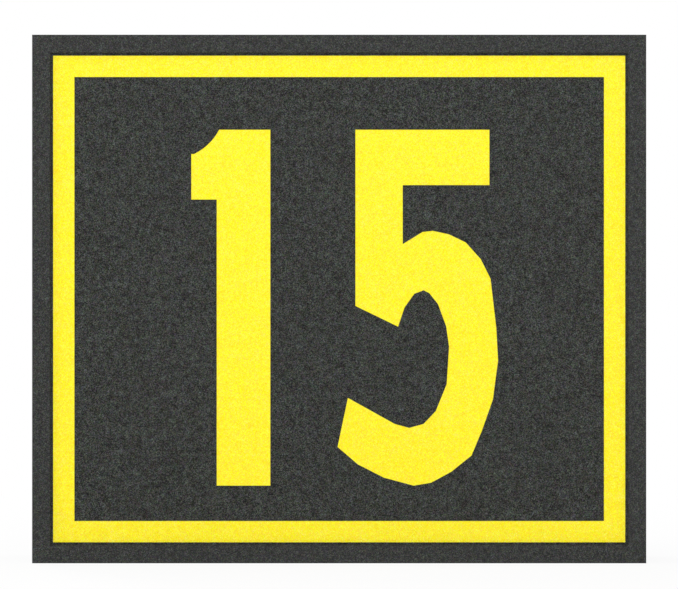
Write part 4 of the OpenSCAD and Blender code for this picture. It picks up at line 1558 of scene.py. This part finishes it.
@dataclass
class ServiceSwitch:
    """The switch in the right-hand side: bezel and housing, rocker and tabs."""

    bench: Bench
    joint: dict
    bezel_corner: float = 2.5 * MM
    body_corner: float = 1.0 * MM
    corner_cuts: int = 5
    edge: float = 0.3 * MM
    along_x: float = 0.99
    half_l: float = 12.0 * MM
    crest_in: float = 1.0 * MM
    rise: float = 7.4 * MM
    saddle: float = 5.6 * MM
    shoulder: float = 4.5 * MM
    skirt: float = 7.0 * MM
    drop: float = 3.5 * MM
    width: float = 13.0 * MM
    hollow: float = 0.55 * MM
    hollow_cuts: int = 8
    rocker_edge: float = 0.45 * MM
    pivot_r: float = 1.5 * MM
    pivot_chamfer: float = 0.3 * MM
    pivot_steps: int = 32
    mark_at: float = 5.5 * MM
    mark_h: float = 0.25 * MM
    bar_half: Point = (2.1 * MM, 0.45 * MM)
    bar_edge: float = 0.15 * MM
    ring_r: float = 2.0 * MM
    ring_w: float = 0.8 * MM
    ring_edge: float = 0.12 * MM
    tab_edge: float = 0.15 * MM
    tab_hole_r: float = 0.9 * MM
    tab_hole_in: float = 2.6 * MM
    punch_reach: float = 2.0 * MM
    punch_steps: int = 20

    def build(self) -> None:
        """Build and dress the switch."""
        self._housing()
        self._rocker()
        self._tabs()

    def _housing(self) -> None:
        """Round the corners of the bezel and of the housing behind it, then every edge."""
        low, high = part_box("switch_housing")
        middle, half_z = (low.z + high.z) / 2, (high.z - low.z) / 2
        opening = self.half_l + self.crest_in + MM
        bm = worked_copy("switch_housing")

        def outermost(edge: BMEdge) -> bool:
            """Say whether an edge is a corner of the bezel."""
            gaps = ((v.co.z - low.z, high.z - v.co.z, v.co.y - low.y, high.y - v.co.y) for v in edge.verts)
            return all(min(gap) < MERGE for gap in gaps)

        def behind(edge: BMEdge) -> bool:
            """Say whether an edge is a corner of the housing behind the bezel."""
            return abs(edge.verts[0].co.z - middle) > opening and edge.calc_length() > half_z / 2

        lengthwise = [
            e
            for e in sharp_edges(bm)
            if abs((e.verts[0].co - e.verts[1].co).normalized().x) > self.along_x
        ]
        bezel = [e for e in lengthwise if outermost(e)]
        body = [e for e in lengthwise if not outermost(e) and behind(e)]
        for edges, radius in ((bezel, self.bezel_corner), (body, self.body_corner)):
            round_edges(bm, edges, radius, self.corner_cuts)
        weight = bm.edges.layers.float.new("bevel_weight_edge")
        for edge in sharp_edges(bm):
            edge[weight] = 1.0
        self.bench.round_off(self.bench.piece("switch_housing", bm, Look.PLASTIC), self.edge)

    def _seat(self) -> Matrix:
        """Give the place of the rocker's own frame, X along it and Z outwards.

        Returns:
            The transform from that frame to the sign's.
        """
        rest = math.radians(-sum(self.joint["range_deg"]) / 2)
        upright = Matrix(((0, 0, 1), (0, -1, 0), (1, 0, 0))).to_4x4()
        return Matrix.Translation(Vector(self.joint["pos_m"])) @ Matrix.Rotation(rest, 4, "Y") @ upright

    def _rocker(self) -> None:
        """Shape the rocker: two hollow halves, rounded edges, a pivot and two raised marks."""
        crest, lift = self.half_l - self.crest_in, self.rise - self.saddle
        shares = [i / self.hollow_cuts for i in range(self.hollow_cuts + 1)]
        half = [(crest * s, self.saddle + lift * s - self.hollow * math.sin(math.pi * s)) for s in shares]
        under = [(self.half_l, self.shoulder), (self.skirt, -self.drop)]
        outline = [
            *((-x, z) for x, z in reversed(half[1:])),
            *half,
            *under,
            *((-x, z) for x, z in reversed(under)),
        ]
        bm = bmesh.new()
        bm.faces.new([bm.verts.new((x, -self.width / 2, z)) for x, z in outline])
        raised = new_verts(bmesh.ops.extrude_face_region(bm, geom=list(bm.faces)))
        bmesh.ops.translate(bm, verts=raised, vec=(0, self.width, 0))
        bmesh.ops.recalc_face_normals(bm, faces=bm.faces)
        round_edges(bm, sharp_edges(bm), self.rocker_edge, 3)
        stamp(bm, self._pivot(), Matrix.Rotation(math.pi / 2, 4, "X"))
        slope = math.atan2(lift, crest)
        middle = (self.rise + self.saddle) / 2 - self.hollow
        for side, mark in ((1, self._bar()), (-1, self._ring())):
            seat = Matrix.Translation(Vector((side * self.mark_at, 0, middle)))
            stamp(bm, mark, seat @ Matrix.Rotation(-side * slope, 4, "Y"), material=1)
        self.bench.piece("switch_rocker", bm, Look.ROCKER, Look.MARK, at=self._seat(), body=Body.ROCKER)

    def _pivot(self) -> BMesh:
        """Turn the rocker's pivot, along Z.

        Returns:
            A new bmesh.
        """
        low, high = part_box("switch_rocker")
        reach, r, cut = (high.y - low.y) / 2, self.pivot_r, self.pivot_chamfer
        upper = [(r, reach - cut), (r - cut, reach), (0.0, reach)]
        lower = [(x, -z) for x, z in reversed(upper)]
        return lathe([*lower, *upper], self.pivot_steps)

    def _bar(self) -> BMesh:
        """Shape the raised bar that marks the switch's on end, across the rocker's length."""
        return rounded_box(Vector(), Vector((*self.bar_half, self.mark_h)), self.bar_edge, 2)

    def _ring(self) -> BMesh:
        """Turn the raised ring that marks the switch's off end.

        Returns:
            A new bmesh.
        """
        inner, outer = self.ring_r - self.ring_w / 2, self.ring_r + self.ring_w / 2
        top, edge = self.mark_h, self.ring_edge
        crown = [(outer, top - edge), (outer - edge, top), (inner + edge, top), (inner, top - edge)]
        return stacked([(inner, -top), (outer, -top), *crown])

    def _tabs(self) -> None:
        """Round the tabs' edges and punch a hole through each."""
        made = self.bench.softened("switch_tabs", Look.BRASS, self.tab_edge)
        reach, r = self.punch_reach, self.tab_hole_r
        holes = bmesh.new()
        for points in islands("switch_tabs"):
            centre = foot(extent(points), Axis.X) + Axis.X.unit() * self.tab_hole_in
            bore = lathe([(0.0, -reach), (r, -reach), (r, reach), (0.0, reach)], self.punch_steps)
            stamp(holes, bore, Matrix.Translation(centre))
        carve(made, holes)


@dataclass
class LightTray:
    """The white tray, its rails, the light boards and their lens strips."""

    bench: Bench
    tray_edge: float = 0.9 * MM
    rail_edge: float = 0.4 * MM
    board_count: int = 6
    lens_count: int = 7
    lens_in: float = 26.0 * MM
    lens_r: float = 7.0 * MM
    lens_h: float = 5.0 * MM
    lens_wall: float = 1.6 * MM
    lens_cuts: int = 10
    lens_steps: int = 32
    strip_t: float = 1.5 * MM
    hole_r: float = 2.3 * MM
    hole_cuts: int = 20
    corner_r: float = 2.0 * MM
    chip_half: float = 1.75 * MM
    chip_h: float = 0.8 * MM
    chip_edge: float = 0.2 * MM
    glow_r: float = 1.3 * MM
    glow_rim: float = 0.1 * MM
    glow_h: float = 0.25 * MM
    glow_steps: int = 20
    part_half: Point = (1.6 * MM, 0.8 * MM)
    part_h: float = 0.6 * MM
    part_in: float = 1.5 * MM
    part_beside: float = 12.0 * MM
    part_edge: float = 0.15 * MM
    grommet_lip: float = 2.0 * MM
    grommet_groove: float = 3.0 * MM
    grommet_bore: float = 3.2 * MM
    grommet_edge: float = 0.6 * MM

    def build(self) -> None:
        """Build and dress the tray and everything on its front."""
        self.bench.softened("reflector_tray", Look.TRAY_PAINT, self.tray_edge, 3)
        for side in ("left", "right"):
            self.bench.softened(f"tray_rail_{side}", Look.ALUMINIUM, self.rail_edge)
        self.bench.screws("tray_screws", Look.STAINLESS)
        screws = self.bench.screws("board_screws", Look.STAINLESS)
        self._grommet()
        for number in range(1, self.board_count + 1):
            self._board(number, screws)
            self._strip(number, screws)

    def _lens_places(self, number: int) -> list[float]:
        """List where the lenses of a board lie along X.

        Args:
            number: The board's number, from the bottom.

        Returns:
            Their places, from left to right.
        """
        low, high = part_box(f"light_board_{number}")
        first, last = low.x + self.lens_in, high.x - self.lens_in
        return [first + (last - first) * i / (self.lens_count - 1) for i in range(self.lens_count)]

    def _plate(
        self, box: Box, face: float, thickness: float, screws: Sequence[Vector], wells: Sequence[list[Point]]
    ) -> BMesh:
        """Make a flat strip with rounded corners, screw holes and wells, its outer side to the front.

        Args:
            box: Its lowest and highest corner.
            face: Where its front lies.
            thickness: Its thickness.
            screws: Where all the board screws are seated.
            wells: The outlines of its other holes.

        Returns:
            A new bmesh.
        """
        half_h = (box[1].z - box[0].z) / 2
        own = [s for s in screws if abs(s.z - box[0].z - half_h) < half_h]
        holes = [circle(s.x, s.z, self.hole_r, self.hole_cuts) for s in own]
        bm = pierced_sheet([rounded_rim(box, self.corner_r), *holes, *wells], face)
        thicken(bm, Side.FRONT, thickness)
        return bm

    def _board(self, number: int, screws: Sequence[Vector]) -> None:
        """Build a light board with its light chips and its small parts.

        Args:
            number: The board's number, from the bottom.
            screws: Where all the board screws are seated.
        """
        name = f"light_board_{number}"
        low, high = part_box(name)
        middle, face = (low.z + high.z) / 2, low.y
        bm = self._plate((low, high), face, high.y - face, screws, [])
        chip_half = Vector((self.chip_half, self.chip_h / 2, self.chip_half))
        part_half = Vector((self.part_half[0], self.part_h / 2, self.part_half[1]))
        for x in self._lens_places(number):
            chip = Vector((x, face - self.chip_h / 2, middle))
            stamp(bm, rounded_box(chip, chip_half, self.chip_edge, 2), material=1)
            rim, crown = (self.glow_r, self.glow_rim), (0.0, self.glow_h)
            glow = lathe([(0.0, 0.0), (self.glow_r, 0.0), rim, crown], self.glow_steps)
            on_chip = pointing(Vector((x, face - self.chip_h, middle)), -Axis.Y.unit())
            stamp(bm, glow, on_chip, material=2)
            for z in (low.z + self.part_in, high.z - self.part_in):
                part = Vector((x + self.part_beside, face - self.part_h / 2, z))
                stamp(bm, rounded_box(part, part_half, self.part_edge, 1), material=3)
        self.bench.piece(name, bm, Look.LAMINATE, Look.TRAY_PAINT, Look.PHOSPHOR, Look.PLASTIC)

    def _strip(self, number: int, screws: Sequence[Vector]) -> None:
        """Build a clear strip: a pierced sheet with a hollow dome over each light.

        Args:
            number: The strip's number, from the bottom.
            screws: Where all the board screws are seated.
        """
        name = f"lens_strip_{number}"
        low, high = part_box(name)
        middle, face = (low.z + high.z) / 2, high.y - self.strip_t
        places = self._lens_places(number)
        inner_r = self.lens_r - self.lens_wall
        wells = [circle(x, middle, inner_r, self.hole_cuts) for x in places]
        bm = self._plate((low, high), face, self.strip_t, screws, wells)
        for x in places:
            stamp(bm, self._dome(inner_r), pointing(Vector((x, face, middle)), -Axis.Y.unit()))
        self.bench.piece(name, bm, Look.LENS)

    def _dome(self, inner_r: float) -> BMesh:
        """Turn one hollow dome, open below.

        Args:
            inner_r: Radius of its hollow.

        Returns:
            A new bmesh, with its foot at the origin and its crown towards +Z.
        """

        def cap(r: float, h: float) -> list[Point]:
            """List the points of a dome's section.

            Args:
                r: Radius of the dome's foot.
                h: Height of its crown.

            Returns:
                The points from its crown to its foot.
            """
            ball = (r * r + h * h) / (2 * h)
            foot_angle = math.degrees(math.asin((ball - h) / ball))
            return [(0.0, h), *arc((0.0, h - ball), ball, 90, foot_angle, self.lens_cuts)[1:]]

        outer, inner = cap(self.lens_r, self.lens_h), cap(inner_r, self.lens_h - self.lens_wall)
        return lathe([*outer, *reversed(inner)], self.lens_steps)

    def _grommet(self) -> None:
        """Turn the rubber ring in the tray: two round lips with a groove between them."""
        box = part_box("tray_grommet")
        size = box[1] - box[0]
        lip_r, lip, bore, edge = size.x / 2, self.grommet_lip, self.grommet_bore, self.grommet_edge
        half = [
            (bore, edge),
            (bore + edge, 0.0),
            (lip_r - edge, 0.0),
            (lip_r, edge),
            (lip_r, lip - edge / 2),
            (lip_r - edge, lip),
            (lip_r - self.grommet_groove, lip),
        ]
        other = [(r, size.y - h) for r, h in reversed(half)]
        seat = pointing(foot(box, Axis.Y), Axis.Y.unit())
        self.bench.piece("tray_grommet", stacked([*half, *other]), Look.RUBBER, at=seat)


@dataclass
class Gear:
    """The power supply, the terminal block and the leads, on the back of the tray."""

    bench: Bench
    case_edge: float = 0.5 * MM
    rib_edge: float = 0.8 * MM
    block_edge: float = 0.3 * MM
    lead_crease: float = 70.0
    lead_levels: int = 2

    def build(self) -> None:
        """Build and dress the electrical gear."""
        self.bench.softened("supply_case", Look.SUPPLY_METAL, self.case_edge)
        self.bench.softened("supply_cover", Look.SUPPLY_METAL, self.rib_edge, 3)
        self.bench.screws("supply_screws", Look.STAINLESS)
        self.bench.softened("terminal_block", Look.PLASTIC, self.block_edge)
        self.bench.screws("terminal_screws", Look.BRASS)
        for end in ("supply", "boards", "switch"):
            self._lead(f"lead_to_{end}")

    def _lead(self, node: str) -> None:
        """Make a lead round: its eight sides are subdivided, and its cut ends stay flat.

        Args:
            node: The lead's node.
        """
        bm = worked_copy(node)
        crease = bm.edges.layers.float.new("crease_edge")
        for edge in sharp_edges(bm, self.lead_crease):
            edge[crease] = 1.0
        made = self.bench.piece(node, bm, Look.JACKET, crease=self.lead_crease)
        rounding = made.modifiers.new("round", "SUBSURF")
        rounding.levels = rounding.render_levels = self.lead_levels


@dataclass(frozen=True)
class Lamp:
    """A soft square lamp: its name, place and side in metres, and its power in watts."""

    name: str
    place: Place
    size: float
    power: float


@dataclass
class Studio:
    """The floor, the soft light and the camera at the photograph's viewing angle."""

    picture_w: float = 678.0
    picture_h: float = 589.0
    sign_left: float = 32.05
    sign_right: float = 646.3
    sign_top: float = 34.55
    sign_bottom: float = 563.45
    lens_mm: float = 300.0
    sensor_mm: float = 36.0
    floor_half: float = 30.0
    floor_white: float = 0.9
    floor_roughness: float = 0.9
    glow_near: float = 0.91
    fade_start: float = 0.35
    fade_end: float = 1.6
    ambient: float = 0.5
    aim: Place = (0.0, 0.0, 0.23)
    lamps: tuple[Lamp, ...] = (
        Lamp("front", (0.0, -4.2, 1.6), 3.0, 80.0),
        Lamp("left", (-3.4, -1.2, 2.4), 1.6, 36.0),
        Lamp("right", (3.4, 1.4, 2.6), 1.6, 36.0),
        Lamp("behind", (-1.2, 3.6, 3.2), 1.1, 70.0),
    )

    def build(self) -> None:
        """Build the camera, the stage and the lamps."""
        self._camera()
        self._floor()
        self._world()
        for lamp in self.lamps:
            self._hang(lamp)

    def _camera(self) -> None:
        """Place the camera so that the sign falls where the photograph shows it."""
        low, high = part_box("frame_bottom")[0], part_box("frame_top")[1]
        per_pixel = (high.x - low.x) / (self.sign_right - self.sign_left)
        distance = per_pixel * self.picture_w * self.lens_mm / self.sensor_mm
        shift_x = (self.sign_left + self.sign_right - self.picture_w) / 2 * per_pixel
        shift_z = (self.sign_top + self.sign_bottom - self.picture_h) / 2 * per_pixel
        data = bpy.data.cameras.new("camera")
        data.lens = self.lens_mm
        data.sensor_width = self.sensor_mm
        camera = add_object("camera", data)
        middle = (low + high) / 2
        camera.location = (middle.x - shift_x, low.y - distance, middle.z + shift_z)
        camera.rotation_euler = (math.pi / 2, 0, 0)
        bpy.context.scene.camera = camera

    def _floor(self) -> None:
        """Lay the white floor, which keeps the sign's shadow and can't be seen from below."""
        bm = bmesh.new()
        bmesh.ops.create_grid(bm, x_segments=1, y_segments=1, size=self.floor_half)
        floor = add_object("floor", as_mesh("floor", bm))
        material = bpy.data.materials.new("floor_paper")
        material.use_nodes = True
        tree = material.node_tree
        paper = tree.nodes["Principled BSDF"]
        paper.inputs["Base Color"].default_value = (self.floor_white,) * 3 + (1.0,)
        paper.inputs["Roughness"].default_value = self.floor_roughness
        glow = add_node(tree, "Emission", {"Strength": 1.0})
        away = add_node(tree, "VectorMath", {0: object_place(tree)}, operation="LENGTH").outputs["Value"]
        reach = {"From Min": self.fade_start, "From Max": self.fade_end, "To Min": self.glow_near}
        fade = add_node(tree, "MapRange", {"Value": away, **reach, "To Max": 1.0}).outputs[0]
        white = blend_shaders(tree, add_math(tree, "MULTIPLY", self._seen(tree), fade), paper, glow)
        below = add_node(tree, "NewGeometry").outputs["Backfacing"]
        seen_below = add_math(tree, "MULTIPLY", below, add_node(tree, "LightPath").outputs["Is Camera Ray"])
        through = blend_shaders(tree, seen_below, white, add_node(tree, "BsdfTransparent"))
        feed(tree, tree.nodes["Material Output"].inputs["Surface"], through.outputs[0])
        floor.data.materials.append(material)

    @staticmethod
    def _seen(tree: ShaderNodeTree) -> NodeSocket:
        """Add the nodes that tell the rays that show a surface from those that carry light.

        Args:
            tree: The node tree that takes the nodes.

        Returns:
            The socket that is 1 for a ray of the camera, a reflection or a clear part.
        """
        rays = add_node(tree, "LightPath").outputs
        seen = add_math(tree, "MAXIMUM", rays["Is Camera Ray"], rays["Is Glossy Ray"])
        return add_math(tree, "MAXIMUM", seen, rays["Is Transmission Ray"])

    def _world(self) -> None:
        """Light the room evenly, and show it white to the camera and to reflections."""
        world = bpy.data.worlds.new("room")
        bpy.context.scene.world = world
        world.use_nodes = True
        tree = world.node_tree
        back = tree.nodes["Background"]
        back.inputs["Color"].default_value = (*WHITE, 1.0)
        gain = add_math(tree, "MULTIPLY", self._seen(tree), 1.0 - self.ambient)
        feed(tree, back.inputs["Strength"], add_math(tree, "ADD", gain, self.ambient))

    def _hang(self, lamp: Lamp) -> None:
        """Hang a lamp, turned towards the sign.

        Args:
            lamp: The lamp.
        """
        data = bpy.data.lights.new(lamp.name, "AREA")
        data.size = lamp.size
        data.energy = lamp.power
        made = add_object(lamp.name, data)
        made.location = lamp.place
        aim = Vector(self.aim) - Vector(lamp.place)
        made.rotation_euler = aim.to_track_quat("-Z", "Y").to_euler()


def main() -> None:
    """Build the studio, then every sub-assembly in order."""
    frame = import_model()
    bpy.context.scene.view_settings.view_transform = "Standard"
    Studio().build()
    bench = Bench()
    for assembly in (FrameCase, Face, LightTray, Gear, BackCover, LegMounts, CableEntry):
        assembly(bench).build()
    ServiceSwitch(bench, frame["joints"][0]).build()


if __name__ == "__main__":
    logging.basicConfig(level=logging.INFO)
    main()
